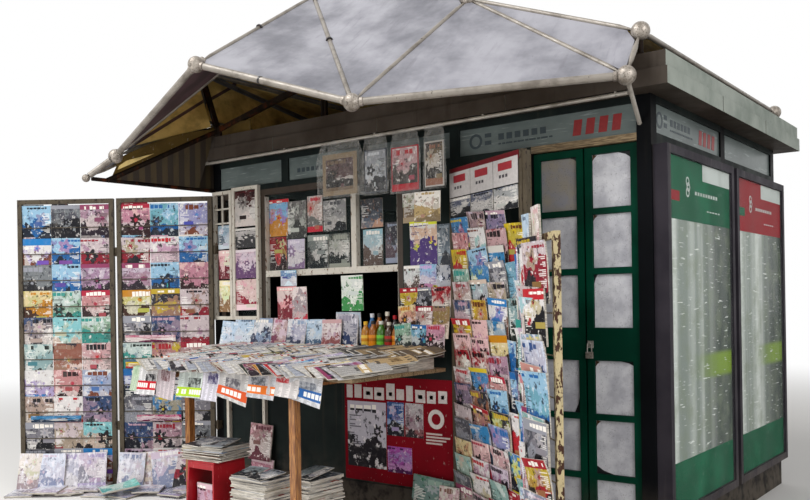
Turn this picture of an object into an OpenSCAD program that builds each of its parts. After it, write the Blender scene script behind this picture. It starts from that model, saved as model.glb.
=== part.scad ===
// Street kiosk for newspapers and magazines: a steel hut on a low deck with a sign band under a
// stepped roof box, a serving window, a pair of narrow glazed doors, light boxes on the right flank,
// folding goods racks opened out in front, and a tube and panel canopy with ball joints.
// The origin is on the ground at the middle of the deck. The front faces -Y.

/* [Body] */
// Width of the body over the corner posts
body_w = 3520; // [3300:10:3900]
// Depth of the body over the corner posts
body_d = 2400; // [2100:10:2800]
// Height of the wall tops above the ground
wall_top = 2490; // [2450:5:2600]
// Thickness of the wall panels
wall_t = 50; // [30:5:70]
// Side of the square posts
post_w = 80; // [60:5:100]
// Thickness of the floor deck
floor_t = 50; // [30:5:60]
// Height of the skirting at the foot of the walls
skirt_h = 200; // [120:10:300]
// Thickness of the skirting
skirt_t = 18; // [8:1:30]

/* [Sign band] */
// Lower edge of the sign panels
sign_z = 2290; // [2280:5:2320]
// Height of the sign panels
sign_h = 160; // [120:5:170]
// Height of the rail under the sign panels
sign_rail_h = 40; // [25:5:60]
// Width of a short sign panel
sign_w = 670; // [500:10:700]
// Width of the bar between two sign panels
sign_bar_w = 70; // [30:5:90]
// Thickness of a sign panel
sign_t = 10; // [6:1:16]

/* [Roof box] */
// Reach of the roof over the front wall
eave_front = 150; // [120:10:200]
// Reach of the roof over the side and rear walls
eave_side = 150; // [100:10:200]
// Thickness of the soffit boards
soffit_t = 15; // [8:1:25]
// Height of the lower fascia band
fascia_low_h = 90; // [60:1:130]
// Height of the upper fascia band
fascia_top_h = 85; // [40:1:110]
// Set-back of the upper fascia band
fascia_step = 12; // [6:1:25]
// Thickness of the fascia sheets
fascia_t = 20; // [10:1:30]
// Thickness of the roof deck
deck_t = 25; // [15:1:40]

/* [Window] */
// Height of the table board and the window sill line
counter_z = 1000; // [900:10:1050]
// Left stile of the serving window, measured from the left wall
window_left = 530; // [480:10:600]
// Width of the serving window
window_w = 1320; // [1200:10:1400]
// Width of the wider left pane of the serving window
pane_w = 880; // [700:10:950]
// Height of the rail over the serving hatch
hatch_z = 1604; // [1500:5:1700]
// Width of the white window bars
bar_w = 44; // [30:2:60]
// Depth of the white window bars
bar_d = 40; // [30:2:60]
// Thickness of the window glass
glass_t = 5; // [4:1:10]
// Thickness of the window sill
sill_t = 50; // [30:5:70]
// Depth of the window sill in front of the wall
sill_out = 140; // [100:10:180]
// How far the sill runs on past the window, in front of the pier
sill_ear = 130; // [80:5:200]

/* [Folding window strips] */
// Width of the outer strip
strip_a_w = 215; // [180:5:240]
// Width of the inner strip
strip_b_w = 285; // [240:5:300]
// Lower end of the strips
strip_z = 1290; // [1200:10:1400]
// Width of the strip bars
strip_bar = 26; // [18:1:36]
// Depth of the strip bars
strip_d = 30; // [20:1:40]
// Left end of the low white frame, measured from the outer strip
low_frame_x = 130; // [100:5:200]
// Width of the low white frame
low_frame_w = 420; // [360:5:480]
// Gap under and over the low white frame
low_frame_gap = 80; // [60:5:120]

/* [Doors] */
// Width of the doorway between post and jamb
door_w = 640; // [520:5:700]
// Thickness of a door leaf
leaf_t = 30; // [24:1:40]
// Gap beside and over a leaf
leaf_gap = 6; // [5:1:8]
// Gap between the two leaves
meet_gap = 12; // [10:1:16]
// Width of the cover board on the jamb
cover_w = 37; // [30:1:60]
// Clearance between the leaves and the floor deck
leaf_floor_gap = 10; // [6:1:20]
// Width of the stiles of a leaf
stile_w = 40; // [30:2:60]
// Height of the broad middle rail
lock_rail_h = 181; // [120:1:220]
// Height of the broad middle rail above the ground
lock_rail_z = 1060; // [950:5:1100]
// Height of the thin glazing rails
glaze_rail_h = 34; // [24:1:50]
// Thickness of the papered panes
door_pane_t = 6; // [4:1:10]
// Radius of the hinge pins
pin_r = 5; // [4:0.5:6]
// Radius of the hinge knuckles
knuckle_r = 10; // [9:0.5:11]
// Running clearance around a hinge pin
pin_clear = 0.06; // [0.04:0.01:0.1]

/* [Light boxes] */
// How far the light boxes stand out of the wall
box_out = 80; // [50:5:110]
// Lower edge of the light boxes
box_z = 210; // [205:5:300]
// Upper edge of the light boxes
box_top = 2220; // [2100:5:2240]
// Width of the frame bars of a light box
box_bar = 46; // [30:2:60]
// Thickness of the glass of a light box
box_glass_t = 5; // [4:1:8]

/* [Display table] */
// Width of the display table
table_w = 1860; // [1700:10:2200]
// Reach of the display table in front of the wall
table_out = 1000; // [800:10:1100]
// Thickness of the table slats
slat_t = 22; // [15:1:30]
// Number of table slats
slat_n = 8; // [5:1:9]
// Gap between two table slats
slat_gap = 12; // [6:1:20]
// Side of the wooden bearers and props
batten = 45; // [35:1:55]
// How much farther back the left prop stands
left_prop_back = 270; // [200:10:400]

/* [Racks] */
// Width of the two left racks
rack_w = 750; // [700:5:800]
// Height of the two left racks
rack_h = 2240; // [2100:10:2300]
// Width of the right rack
rack_right_w = 790; // [720:5:820]
// Height of the right rack
rack_right_h = 2210; // [2100:10:2300]
// Width of the narrow side rack
rack_side_w = 450; // [380:5:480]
// Height of the narrow side rack
rack_side_h = 1730; // [1600:10:1850]
// Side of the rack stiles
rack_bar = 34; // [26:1:42]
// Diameter of the cross rods
rod_d = 7; // [5:0.5:10]
// How far the rods run below the upper edges of the magazines
rod_drop = 125; // [90:1:160]
// Space between the top bar and the first row of the left racks
row_drop = 60; // [30:1:62]
// Space between the top bar and the first row of the right racks
row_drop_right = 30; // [20:1:32]
// Height of the flat bar at the foot
low_bar = 20; // [14:1:24]
// Spacing of the rows
row_pitch = 204; // [195:1:220]
// Width of a magazine
mag_w = 208; // [190:1:212]
// Height of a magazine
mag_h = 285; // [270:1:300]
// Thickness of a magazine
mag_t = 4; // [3:0.5:4]

/* [Stock] */
// Width of a folded newspaper on the table
paper_w = 215; // [180:5:240]
// Depth of a folded newspaper on the table
paper_d = 245; // [200:5:260]
// Height of a pile of newspapers on the table
paper_h = 28; // [10:1:60]
// How much higher each row of papers is than the one in front of it
paper_rise = 36; // [0:2:60]
// Width of a newspaper hung over the table's front edge
hung_w = 165; // [140:5:190]
// How far a newspaper hangs below the table board
hung_h = 170; // [120:5:220]
// Thickness of a newspaper
paper_t = 4; // [3:0.5:6]
// Width of a stack on the ground
stack_w = 285; // [260:5:300]
// Depth of a stack on the ground
stack_d = 215; // [200:5:240]
// Height of a stack on the ground
stack_h = 400; // [300:5:440]
// Width of the plastic stool
stool_w = 240; // [200:2:300]
// Depth of the plastic stool
stool_d = 250; // [200:5:300]
// Height of the plastic stool
stool_h = 450; // [400:5:480]
// Height of the magazines piled on the stool
pile_h = 85; // [40:5:95]
// How far the pile reaches beyond the stool on each side
pile_over = 45; // [20:5:60]

/* [Canopy] */
// Diameter of the eave tubes
eave_tube_d = 42; // [34:1:48]
// Diameter of the upper tubes
rafter_tube_d = 28; // [20:1:34]
// Diameter of the ball joints
ball_d = 100; // [90:1:120]
// Thickness of the canopy panels
panel_t = 5; // [3:0.5:8]
// Reach of the canopy's front corners in front of the wall
canopy_out = 890; // [800:10:950]
// Reach of the canopy's raised middle in front of the wall
canopy_tip_out = 1060; // [950:10:1100]
// Height of the canopy's low corners
canopy_low_z = 2485; // [2440:5:2520]
// How much lower the left corner of the canopy hangs
canopy_sag = 40; // [0:5:60]
// Height of the canopy's raised front middle
canopy_mid_z = 2850; // [2800:10:3000]
// Height of the canopy's peak
canopy_peak_z = 3540; // [3400:10:3600]
// Height of the canopy's shoulders
canopy_shoulder_z = 3240; // [3150:10:3300]
// Half width of the canopy's peaked bay
canopy_half = 1085; // [1050:5:1150]
// Diameter of the hanging rail under the eaves
rail_d = 22; // [16:1:30]
// Side of the square dark beams under the canopy, and diameter of the one to the tip
beam_w = 36; // [25:1:50]

/* [Hidden] */
$fn = 32;
touch = 0.3;
half_w = body_w / 2;
half_d = body_d / 2;
front_y = -half_d;
inner_x = half_w - post_w;
inner_y = half_d - post_w;
wall_z = sign_z - sign_rail_h;
sign_top = sign_z + sign_h;
sill_z = counter_z + sill_t;
// front openings, from left to right
win_x0 = -half_w + window_left;
win_x1 = win_x0 + window_w;
mullion_x = win_x0 + pane_w;
door_x1 = inner_x;
door_x0 = door_x1 - door_w;
jamb_x0 = door_x0 - post_w;
// door leaves
cover_t = 6;
leaf_y1 = front_y + 50;
leaf_y0 = leaf_y1 - leaf_t;
leaf_z0 = floor_t + leaf_floor_gap;
leaf_z1 = wall_z - leaf_gap;
leaf_w = (door_w - 2 * leaf_gap - meet_gap) / 2;
hinge_in = knuckle_r + 1;
hinge_y = leaf_y1 + knuckle_r + 2;
hinge_len = 100;
hinge_zs = [leaf_z0 + 180, (leaf_z0 + leaf_z1) / 2, leaf_z1 - 280];
// roof levels
step_z = wall_top + fascia_low_h;
roof_top = step_z + fascia_top_h;
roof_x = half_w + eave_side;
roof_y0 = -half_d - eave_front;
roof_y1 = half_d + eave_side;
// light boxes
box_y0 = -half_d + 20;
box_len = half_d - 60;
// canopy nodes, named after their places
rail_z = roof_top + 125;
bay_x = win_x0 + window_w / 2 - 70;
node_corner = [half_w, front_y - 310, canopy_low_z + 35];
node_low_right = [bay_x + canopy_half, front_y - canopy_out, canopy_low_z];
node_low_left = [bay_x - canopy_half, front_y - canopy_out, canopy_low_z - canopy_sag];
node_mid = [bay_x, front_y - canopy_tip_out, canopy_mid_z];
node_tip = node_low_left + [-96, -170, -160];
node_peak = [bay_x, front_y - 25, canopy_peak_z];
node_shoulder_right = [bay_x + 1265, front_y, canopy_shoulder_z];
node_shoulder_left = [-half_w - 130, front_y, canopy_shoulder_z];
node_roof_right = [half_w - 4, roof_y0 + 40, rail_z];
node_roof_left = [-half_w + 4, roof_y0 + 40, rail_z];
rear_y = half_d + 60;
node_rear_right = [half_w - 4, rear_y, rail_z];
node_rear_left = [-half_w + 4, rear_y, rail_z];
node_rear_mid = [bay_x, rear_y, rail_z];
node_bracket = [-half_w + 212, roof_y0 + 25, roof_top + 45];
node_rear_shoulder = [node_shoulder_right[0], rear_y, rail_z];
// hanging rail
rail_y = roof_y0 + rail_d / 2;
rail_z0 = wall_top - 5 - rail_d / 2;
stay_d = 24;

// Box between two corners
module slab(x0, x1, y0, y1, z0, z1) {
    translate([x0, y0, z0]) cube([x1 - x0, y1 - y0, z1 - z0]);
}

// Upright rectangular frame of bars in the XZ plane, open in the middle
module frame(x0, x1, y0, y1, z0, z1, bar) {
    difference() {
        slab(x0, x1, y0, y1, z0, z1);
        slab(x0 + bar, x1 - bar, y0 - 1, y1 + 1, z0 + bar, z1 - bar);
    }
}

module floor_deck() {
    color("dimgray") slab(-half_w, half_w, -half_d, half_d, 0, floor_t);
}

// Skirting on the outer faces, left open at the doorway
module skirting() {
    color("#4a4038") {
        slab(-half_w - skirt_t, door_x0, front_y - skirt_t, front_y, 0, skirt_h);
        slab(-half_w - skirt_t, -half_w, front_y, half_d, 0, skirt_h);
        slab(-half_w - skirt_t, half_w + skirt_t, half_d, half_d + skirt_t, 0, skirt_h);
        slab(half_w, half_w + skirt_t, front_y, half_d, 0, skirt_h);
    }
}

module post(x, y) {
    slab(x, x + post_w, y, y + post_w, floor_t, wall_top);
}

module posts() {
    color("#2c2f31") {
        for (x = [-half_w, inner_x], y = [-half_d, -post_w / 2, inner_y]) post(x, y);
        slab(jamb_x0, door_x0, front_y, front_y + post_w, floor_t, wall_z);
    }
}

module front_lower_wall() {
    color("#33363a") slab(-inner_x, win_x1, front_y, front_y + wall_t, floor_t, counter_z);
}

module front_pier() {
    color("#3a3d40") slab(win_x1, jamb_x0, front_y, front_y + wall_t, floor_t, wall_z);
}

// A flank wall: two sheets between its three posts
module flank(x0) {
    slab(x0, x0 + wall_t, -inner_y, -post_w / 2, floor_t, wall_z);
    slab(x0, x0 + wall_t, post_w / 2, inner_y, floor_t, wall_z);
}

module left_wall() {
    color("#3a3d40") flank(-half_w);
}

module right_wall() {
    color("#3a3d40") flank(half_w - wall_t);
}

module rear_wall() {
    color("#3a3d40") slab(-inner_x, inner_x, half_d - wall_t, half_d, floor_t, wall_z);
}

// Rails under and over the signs, with the bars between the panels
module sign_rails() {
    color("#34383a") {
        for (side = [-1, 1]) {
            for (part = [[-inner_y, -post_w / 2], [post_w / 2, inner_y]]) {
                x0 = side < 0 ? -half_w : half_w - wall_t;
                slab(x0, x0 + wall_t, part[0], part[1], wall_z, sign_z);
                slab(x0, x0 + wall_t, part[0], part[1], sign_top, wall_top);
            }
        }
        slab(-inner_x, inner_x, half_d - wall_t, half_d, wall_z, sign_z);
        slab(-inner_x, inner_x, half_d - wall_t, half_d, sign_top, wall_top);
        slab(-inner_x, door_x0, front_y, front_y + wall_t, wall_z, sign_z);
        slab(-inner_x, inner_x, front_y, front_y + wall_t, sign_top, wall_top);
        for (i = [1 : 3]) {
            x = -inner_x + i * sign_w + (i - 1) * sign_bar_w;
            slab(x, x + sign_bar_w, front_y, front_y + wall_t, sign_z, sign_top);
        }
    }
}

// Translucent sign panels, set a little back in their rails
module sign_panels() {
    y = front_y + 12;
    color("#93a09c") {
        for (i = [0 : 2]) {
            x = -inner_x + i * (sign_w + sign_bar_w);
            slab(x, x + sign_w, y, y + sign_t, sign_z, sign_top);
        }
        slab(-inner_x + 3 * (sign_w + sign_bar_w), inner_x, y, y + sign_t, sign_z, sign_top);
        for (x = [-half_w + 12, half_w - 12 - sign_t]) {
            slab(x, x + sign_t, -inner_y, -post_w / 2, sign_z, sign_top);
            slab(x, x + sign_t, post_w / 2, inner_y, sign_z, sign_top);
        }
        slab(-inner_x, inner_x, half_d - 12 - sign_t, half_d - 12, sign_z, sign_top);
    }
}

// Board over the doors and the narrow cover board on the jamb beside them
module door_lintel() {
    color("#7a6245") {
        slab(door_x0, inner_x, front_y, front_y + wall_t, wall_z, sign_z);
        slab(door_x0 - cover_w, door_x0, front_y - touch - cover_t, front_y - touch, skirt_h + touch, wall_z);
    }
}

// Boards under the overhang, from the wall out to the fascia
module soffit() {
    color("#8a8072") difference() {
        slab(-roof_x + fascia_t, roof_x - fascia_t, roof_y0 + fascia_t, roof_y1 - fascia_t,
            wall_top, wall_top + soffit_t);
        slab(-inner_x, inner_x, -inner_y, inner_y, wall_top - 1, wall_top + soffit_t + 1);
    }
}

// Two bands of sheet, the upper one set back
module roof_fascia() {
    color("#9aa0a2") {
        difference() {
            slab(-roof_x, roof_x, roof_y0, roof_y1, wall_top, step_z);
            slab(-roof_x + fascia_t, roof_x - fascia_t, roof_y0 + fascia_t, roof_y1 - fascia_t,
                wall_top - 1, step_z + 1);
        }
        difference() {
            slab(-roof_x + fascia_step, roof_x - fascia_step, roof_y0 + fascia_step,
                roof_y1 - fascia_step, step_z, roof_top);
            slab(-roof_x + fascia_t + fascia_step, roof_x - fascia_t - fascia_step,
                roof_y0 + fascia_t + fascia_step, roof_y1 - fascia_t - fascia_step,
                step_z - 1, roof_top + 1);
        }
    }
}

module roof_deck() {
    inset = fascia_t + fascia_step;
    color("#5f6466") slab(-roof_x + inset, roof_x - inset, roof_y0 + inset, roof_y1 - inset,
        roof_top - deck_t, roof_top);
}

// White bars of the window, open at the serving hatch
module window_frame() {
    y0 = front_y;
    y1 = front_y + bar_d;
    color("gainsboro") {
        slab(-inner_x, win_x1, y0, y1, wall_z - bar_w, wall_z);
        slab(-inner_x, -inner_x + bar_w, y0, y1, sill_z, wall_z - bar_w);
        slab(win_x0, win_x0 + bar_w, y0, y1, sill_z, wall_z - bar_w);
        slab(win_x1 - bar_w, win_x1, y0, y1, sill_z, wall_z - bar_w);
        slab(win_x0 + bar_w, win_x1 - bar_w, y0, y1, hatch_z, hatch_z + bar_w);
        slab(mullion_x, mullion_x + bar_w, y0, y1, hatch_z + bar_w, wall_z - bar_w);
    }
}

module window_sill() {
    color("#a79a84") {
        slab(-inner_x, win_x1, front_y - sill_out, front_y + wall_t + 60, counter_z, sill_z);
        slab(win_x1, win_x1 + sill_ear, front_y - sill_out, front_y, counter_z, sill_z);
    }
}

module window_glass() {
    y = front_y + bar_d / 2;
    color("lightblue", 0.4) {
        slab(-inner_x + bar_w, win_x0, y, y + glass_t, sill_z, wall_z - bar_w);
        slab(win_x0 + bar_w, mullion_x, y, y + glass_t, hatch_z + bar_w, wall_z - bar_w);
        slab(mullion_x + bar_w, win_x1 - bar_w, y, y + glass_t, hatch_z + bar_w, wall_z - bar_w);
    }
}

// Two narrow white frames folded in front of the window's left end, and a low one under the sill
module window_strips() {
    x0 = -half_w + 20;
    y1 = front_y - touch;
    color("whitesmoke") {
        frame(x0, x0 + strip_a_w, y1 - strip_d, y1, strip_z, wall_z + 22, strip_bar);
        frame(x0 + strip_a_w + 6, x0 + strip_a_w + strip_b_w + 6, y1 - strip_d, y1, strip_z,
            wall_z + 36, strip_bar);
        frame(x0 + low_frame_x, x0 + low_frame_x + low_frame_w, y1 - strip_d, y1, skirt_h + low_frame_gap,
            counter_z - low_frame_gap, strip_bar);
    }
}

// Leaf with hinge on its left side at the origin of X, inner face at leaf_y1
module leaf_frame() {
    h = lock_rail_z - leaf_z0;
    color("#0f3d33") difference() {
        union() {
            slab(0, leaf_w, leaf_y0, leaf_y1, leaf_z0, leaf_z1);
            for (z = hinge_zs) {
                translate([hinge_in - leaf_gap, hinge_y, z + hinge_len / 3 + touch])
                    cylinder(r = knuckle_r, h = hinge_len / 3 - 2 * touch);
                slab(hinge_in - leaf_gap, hinge_in + 34, leaf_y1, leaf_y1 + 6,
                    z + hinge_len / 3 + touch, z + hinge_len * 2 / 3 - touch);
            }
        }
        pane_places() slab(0, leaf_w - 2 * stile_w, leaf_y0 - 1, leaf_y1 + 1, 0, $pane_h);
        for (z = hinge_zs)
            translate([hinge_in - leaf_gap, hinge_y, z]) cylinder(r = pin_r + pin_clear, h = hinge_len);
    }
}

// Puts its child at each of the six panes of a leaf, with the pane's height in $pane_h
module pane_places() {
    upper = (leaf_z1 - stile_w - lock_rail_z - lock_rail_h - 2 * glaze_rail_h) / 3;
    lower = (lock_rail_z - leaf_z0 - stile_w - 2 * glaze_rail_h) / 3;
    for (i = [0 : 2]) {
        translate([stile_w, 0, lock_rail_z + lock_rail_h + i * (upper + glaze_rail_h)]) {
            $pane_h = upper;
            children();
        }
        translate([stile_w, 0, leaf_z0 + stile_w + i * (lower + glaze_rail_h)]) {
            $pane_h = lower;
            children();
        }
    }
}

module leaf_panes() {
    y = leaf_y0 + leaf_t / 2;
    color("#a9aaa6") pane_places() slab(0, leaf_w - 2 * stile_w, y, y + door_pane_t, 0, $pane_h);
}

module at_left_leaf() {
    translate([door_x0 + leaf_gap, 0, 0]) children();
}

module at_right_leaf() {
    translate([door_x1 - leaf_gap, 0, 0]) mirror([1, 0, 0]) children();
}

// Fixed half of a hinge on the left side: a strap with two knuckles and the pin
module hinge_fixed(z) {
    translate([hinge_in, hinge_y, z]) {
        cylinder(r = knuckle_r, h = hinge_len / 3);
        translate([0, 0, hinge_len * 2 / 3]) cylinder(r = knuckle_r, h = hinge_len / 3);
        cylinder(r = pin_r, h = hinge_len);
    }
    for (dz = [0, hinge_len * 2 / 3]) slab(0, 5, hinge_y, hinge_y + 14, z + dz, z + dz + hinge_len / 3);
}

module door_hinges() {
    color("#23352f") {
        for (z = hinge_zs) {
            translate([door_x0, 0, 0]) hinge_fixed(z);
            translate([door_x1, 0, 0]) mirror([1, 0, 0]) hinge_fixed(z);
        }
    }
}

// Two shallow cases on the right flank, open at the glass
module light_boxes() {
    color("#3b3e42") {
        for (y0 = [box_y0, 20]) {
            difference() {
                slab(half_w, half_w + box_out, y0, y0 + box_len, box_z, box_top);
                slab(half_w + 8, half_w + box_out + 1, y0 + box_bar, y0 + box_len - box_bar,
                    box_z + box_bar, box_top - box_bar);
            }
        }
    }
}

module light_box_glass() {
    x = half_w + box_out - 12;
    color("#9fb7ae", 0.4) {
        for (y0 = [box_y0, 20])
            slab(x, x + box_glass_t, y0 + box_bar, y0 + box_len - box_bar, box_z + box_bar, box_top - box_bar);
    }
}

// Slats along the front, which lie on three bearers
table_x0 = win_x1 + 420 - table_w;
table_y0 = front_y - table_out;
table_y1 = front_y - sill_out - touch;
slat_w = (table_y1 - table_y0 - (slat_n - 1) * slat_gap) / slat_n;
bearer_xs = [table_x0 + 160, table_x0 + 785, table_x0 + 1410];
prop_y = table_y0 - 22;

module table_slats() {
    color("#b08d5b") {
        for (i = [0 : slat_n - 1]) {
            y = table_y0 + i * (slat_w + slat_gap);
            slab(table_x0, table_x0 + table_w, y, y + slat_w, counter_z - slat_t, counter_z);
        }
    }
}

module table_battens() {
    z1 = counter_z - slat_t;
    color("#9c7444") {
        for (x = bearer_xs) slab(x, x + batten, prop_y, front_y, z1 - batten, z1);
        for (foot = [[bearer_xs[0], prop_y + left_prop_back], [bearer_xs[2], prop_y]])
            slab(foot[0], foot[0] + batten, foot[1], foot[1] + batten, 0, z1 - batten);
    }
}

// Upright rack of angle bars and cross rods, X along its width, the goods on its -Y face.
// Its hinge barrels stand beside the stile at pin_x and are held by short plates.
module rack_frame(w, h, rows, drop, pin_x) {
    for (x = [0, w - rack_bar]) slab(x, x + rack_bar, 0, rack_bar, 0, h);
    slab(rack_bar, w - rack_bar, 0, rack_bar, h - rack_bar, h);
    slab(rack_bar, w - rack_bar, 0, rack_bar, 0, low_bar);
    for (i = [0 : rows - 1])
        translate([rack_bar - 1, rod_d, h - rack_bar - drop - i * row_pitch - rod_drop])
            rotate([0, 90, 0]) cylinder(d = rod_d, h = w - 2 * rack_bar + 2);
    for (z = [0.2, 0.8] * h) {
        translate([pin_x, rack_bar / 2, z]) cylinder(r = barrel_r, h = barrel_h);
        slab(min(pin_x, w - rack_bar / 2), max(pin_x, rack_bar / 2), rack_bar / 2 - 3,
            rack_bar / 2 + 3, z + 5, z + barrel_h - 5);
    }
}

module magazine() {
    cube([mag_w, mag_t, mag_h]);
}

barrel_r = 9;
barrel_h = 70;
barrel_gap = 16;
// lean at which each magazine just touches the one below it
row_lean = asin((mag_t + touch) / row_pitch);
row_y = rod_d * 1.5 + touch - rod_drop * tan(row_lean);

// Rows of magazines that overlap like tiles, each with its foot behind the one below
module rack_rows(w, h, rows, drop, per_row) {
    pitch = (w - 2 * rack_bar) / per_row;
    for (i = [0 : rows - 1], k = [0 : per_row - 1])
        translate([rack_bar + (k + 0.5) * pitch - mag_w / 2, row_y, h - rack_bar - drop - i * row_pitch])
            rotate([row_lean, 0, 0]) translate([0, 0, -mag_h]) magazine();
}

inner_angle = 34;
outer_angle = 36;
right_angle = -26.2;
side_angle = -45;
// pins of the racks: at the left corner post, at the inner rack, at the pier and at the right rack
inner_pin = [-half_w + 60, front_y - 45];
outer_pin = inner_pin
    + turned([-rack_w - barrel_gap - barrel_r - touch, 0], inner_angle);
right_pin = [win_x1 + 400, front_y - 30];
side_pin = right_pin
    + turned([barrel_gap + rack_right_w + rack_bar + barrel_r + touch, 0], right_angle);

function turned(v, a) = [v[0] * cos(a) - v[1] * sin(a), v[0] * sin(a) + v[1] * cos(a)];

// Puts a rack whose pin stands at local X = pin_x onto the pin
module at_pin(pin, angle, pin_x) {
    translate([pin[0], pin[1], 0]) rotate([0, 0, angle]) translate([-pin_x, -rack_bar / 2, 0]) children();
}

module at_inner() {
    at_pin(inner_pin, inner_angle, rack_w + barrel_gap) children();
}

module at_outer() {
    at_pin(outer_pin, outer_angle, rack_w + barrel_gap) children();
}

module at_right() {
    at_pin(right_pin, right_angle, -barrel_gap) children();
}

module at_side() {
    at_pin(side_pin, side_angle, -barrel_gap) children();
}

module rack_outer() {
    color("#5b5546") at_outer() rack_frame(rack_w, rack_h, 10, row_drop, rack_w + barrel_gap);
}

// The innermost racks also carry the brackets that tie their barrels to the hut
module rack_inner() {
    color("#5b5546") {
        at_inner() rack_frame(rack_w, rack_h, 10, row_drop, rack_w + barrel_gap);
        for (z = [0.2, 0.8] * rack_h)
            slab(inner_pin[0] - 2, inner_pin[0] + 4, inner_pin[1], front_y - touch, z + 5, z + barrel_h - 5);
    }
}

module rack_right() {
    color("#5b5546") {
        at_right() {
            rack_frame(rack_right_w, rack_right_h, 10, row_drop_right, -barrel_gap);
            slab(rack_right_w - 1, rack_right_w + rack_bar, 4, rack_bar, 0, rack_right_h - 12);
        }
        for (z = [0.2, 0.8] * rack_right_h)
            slab(right_pin[0] - 8, right_pin[0] - 2, right_pin[1], front_y - touch, z + 5, z + barrel_h - 5);
    }
}

module rack_side() {
    color("#cbbf9c") at_side() rack_frame(rack_side_w, rack_side_h, 7, row_drop_right, -barrel_gap);
}

module left_rack_magazines() {
    color("lightsteelblue") {
        at_outer() rack_rows(rack_w, rack_h, 10, row_drop, 3);
        at_inner() rack_rows(rack_w, rack_h, 10, row_drop, 3);
    }
}

module right_rack_magazines() {
    color("lightpink") {
        at_right() rack_rows(rack_right_w, rack_right_h, 10, row_drop_right, 3);
        at_side() rack_rows(rack_side_w, rack_side_h, 7, row_drop_right, 1);
    }
}

// One magazine shown upright, its back face at y = 0
module shown(w, h) {
    translate([-w / 2, -mag_t, 0]) cube([w, mag_t, h]);
}

// Magazines on the window, on the strips, on the pier, along the sill and on the hanging rail
module window_magazines() {
    color("mistyrose") {
        for (k = [0, 1]) {
            z = hatch_z + bar_w / 2 + k * (mag_h + touch);
            for (i = [0 : 3]) translate([win_x0 + 150 + i * 205, front_y - touch, z]) shown(mag_w - 16, mag_h);
            for (i = [0 : 1]) translate([mullion_x + 130 + i * 190, front_y - touch, z]) shown(mag_w - 30, mag_h);
        }
        for (i = [0 : 1], k = [0 : 3])
            translate([win_x1 + 95 + i * 190, front_y - touch, sill_z + 40 + k * (mag_h - 15)])
                shown(mag_w - 25, mag_h - 25);
        for (i = [0 : 5])
            translate([-inner_x + 120 + i * 235, front_y - sill_out / 2, sill_z])
                rotate([-8, 0, 0]) shown(mag_w, mag_h - 30);
        for (i = [0 : 3])
            translate([mullion_x + i * 260, rail_y - rail_d / 2 - touch, rail_z0 - 450]) shown(230, 450);
    }
}

// Folded newspapers in rows on the table, and a row hung over its front edge
table_edge = 40;
pile_n = 7;
pile_pitch = (table_w - 54) / pile_n;
hung_n = 9;
hung_pitch = (table_w - table_edge - hung_w - 100) / (hung_n - 1);

module table_newspapers() {
    color("ivory") {
        for (i = [0 : pile_n - 1], k = [0 : 2])
            translate([table_x0 + 60 + i * pile_pitch, table_y0 + table_edge + k * (paper_d + 25), counter_z])
                rotate([0, 0, 6 - 3 * k]) cube([paper_w, paper_d, paper_h + k * paper_rise]);
        for (i = [0 : hung_n - 1])
            translate([table_x0 + table_edge + i * hung_pitch, prop_y - touch - paper_t, counter_z]) {
                translate([0, 0, -hung_h]) cube([hung_w, paper_t, hung_h + touch + paper_t]);
                translate([0, 0, touch]) cube([hung_w, table_y0 + table_edge - prop_y, paper_t]);
            }
    }
}

module bottle() {
    rotate_extrude() polygon([
        [0, 0], [28, 0], [30, 8], [30, 130], [24, 165], [12, 195], [12, 215], [14, 216], [14, 235], [0, 235]
    ]);
}

module bottles() {
    color("orange") {
        for (i = [0 : 5], k = [0 : 1])
            translate([mullion_x + 150 + i * 66, front_y - 40 - k * 66, sill_z]) bottle();
    }
}

// Plastic stool in front of the left prop: closed at its sides, open at its front and back
stool_x = table_x0 + 510;
stool_y = table_y0 - 10;
stack_x = table_x0 + 950;
stack_y = table_y0 - 55;
stack_gap = 10;

module stool() {
    color("crimson") difference() {
        translate([stool_x, stool_y, 0]) cube([stool_w, stool_d, stool_h]);
        translate([stool_x + 12, stool_y - 1, -1]) cube([stool_w - 24, stool_d + 2, stool_h - 11]);
    }
}

// Stacks on and beside the stool, and wrapped magazines that lean at the feet of the left racks
module stacks() {
    color("lavender") {
        translate([stool_x - pile_over, stool_y - 10, stool_h]) rotate([0, 0, 6])
            cube([stool_w + 2 * pile_over, stool_d, pile_h]);
        translate([stack_x, stack_y, 0]) cube([stack_w, stack_d, stack_h]);
        translate([stack_x + stack_d, stack_y + stack_d + stack_gap, 0])
            cube([stack_d, stack_w, stack_h - 2 * stack_gap]);
        at_outer() leaning_row(3);
        at_inner() leaning_row(3);
    }
}

pack_lean = 14;
pack_t = mag_t * 3;
pack_top = pack_t * sin(pack_lean) + mag_h * cos(pack_lean);
// height of the lowest magazine's upper edge, and how deep its face lies where the packs touch it
low_edge = rack_h - rack_bar - row_drop - 9 * row_pitch;
pack_reach = (low_edge - pack_top) * tan(row_lean);

// Wrapped packs whose lower back edge is on the ground and whose top rests on the magazines
module leaning_row(n) {
    for (i = [0 : n - 1])
        translate([rack_bar + 4 + i * (mag_w + 18), row_y + pack_reach - touch
            - mag_h * sin(pack_lean) - pack_t * cos(pack_lean), pack_t * sin(pack_lean)])
            rotate([-pack_lean, 0, 0]) cube([mag_w, pack_t, mag_h]);
}

// Length of a vector, and tube between two points that stops short of the balls
module tube(a, b, d, cut_a, cut_b) {
    v = b - a;
    len_v = norm(v);
    translate(a) rotate([0, acos(v[2] / len_v), atan2(v[1], v[0])])
        translate([0, 0, cut_a]) cylinder(d = d, h = len_v - cut_a - cut_b);
}

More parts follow.
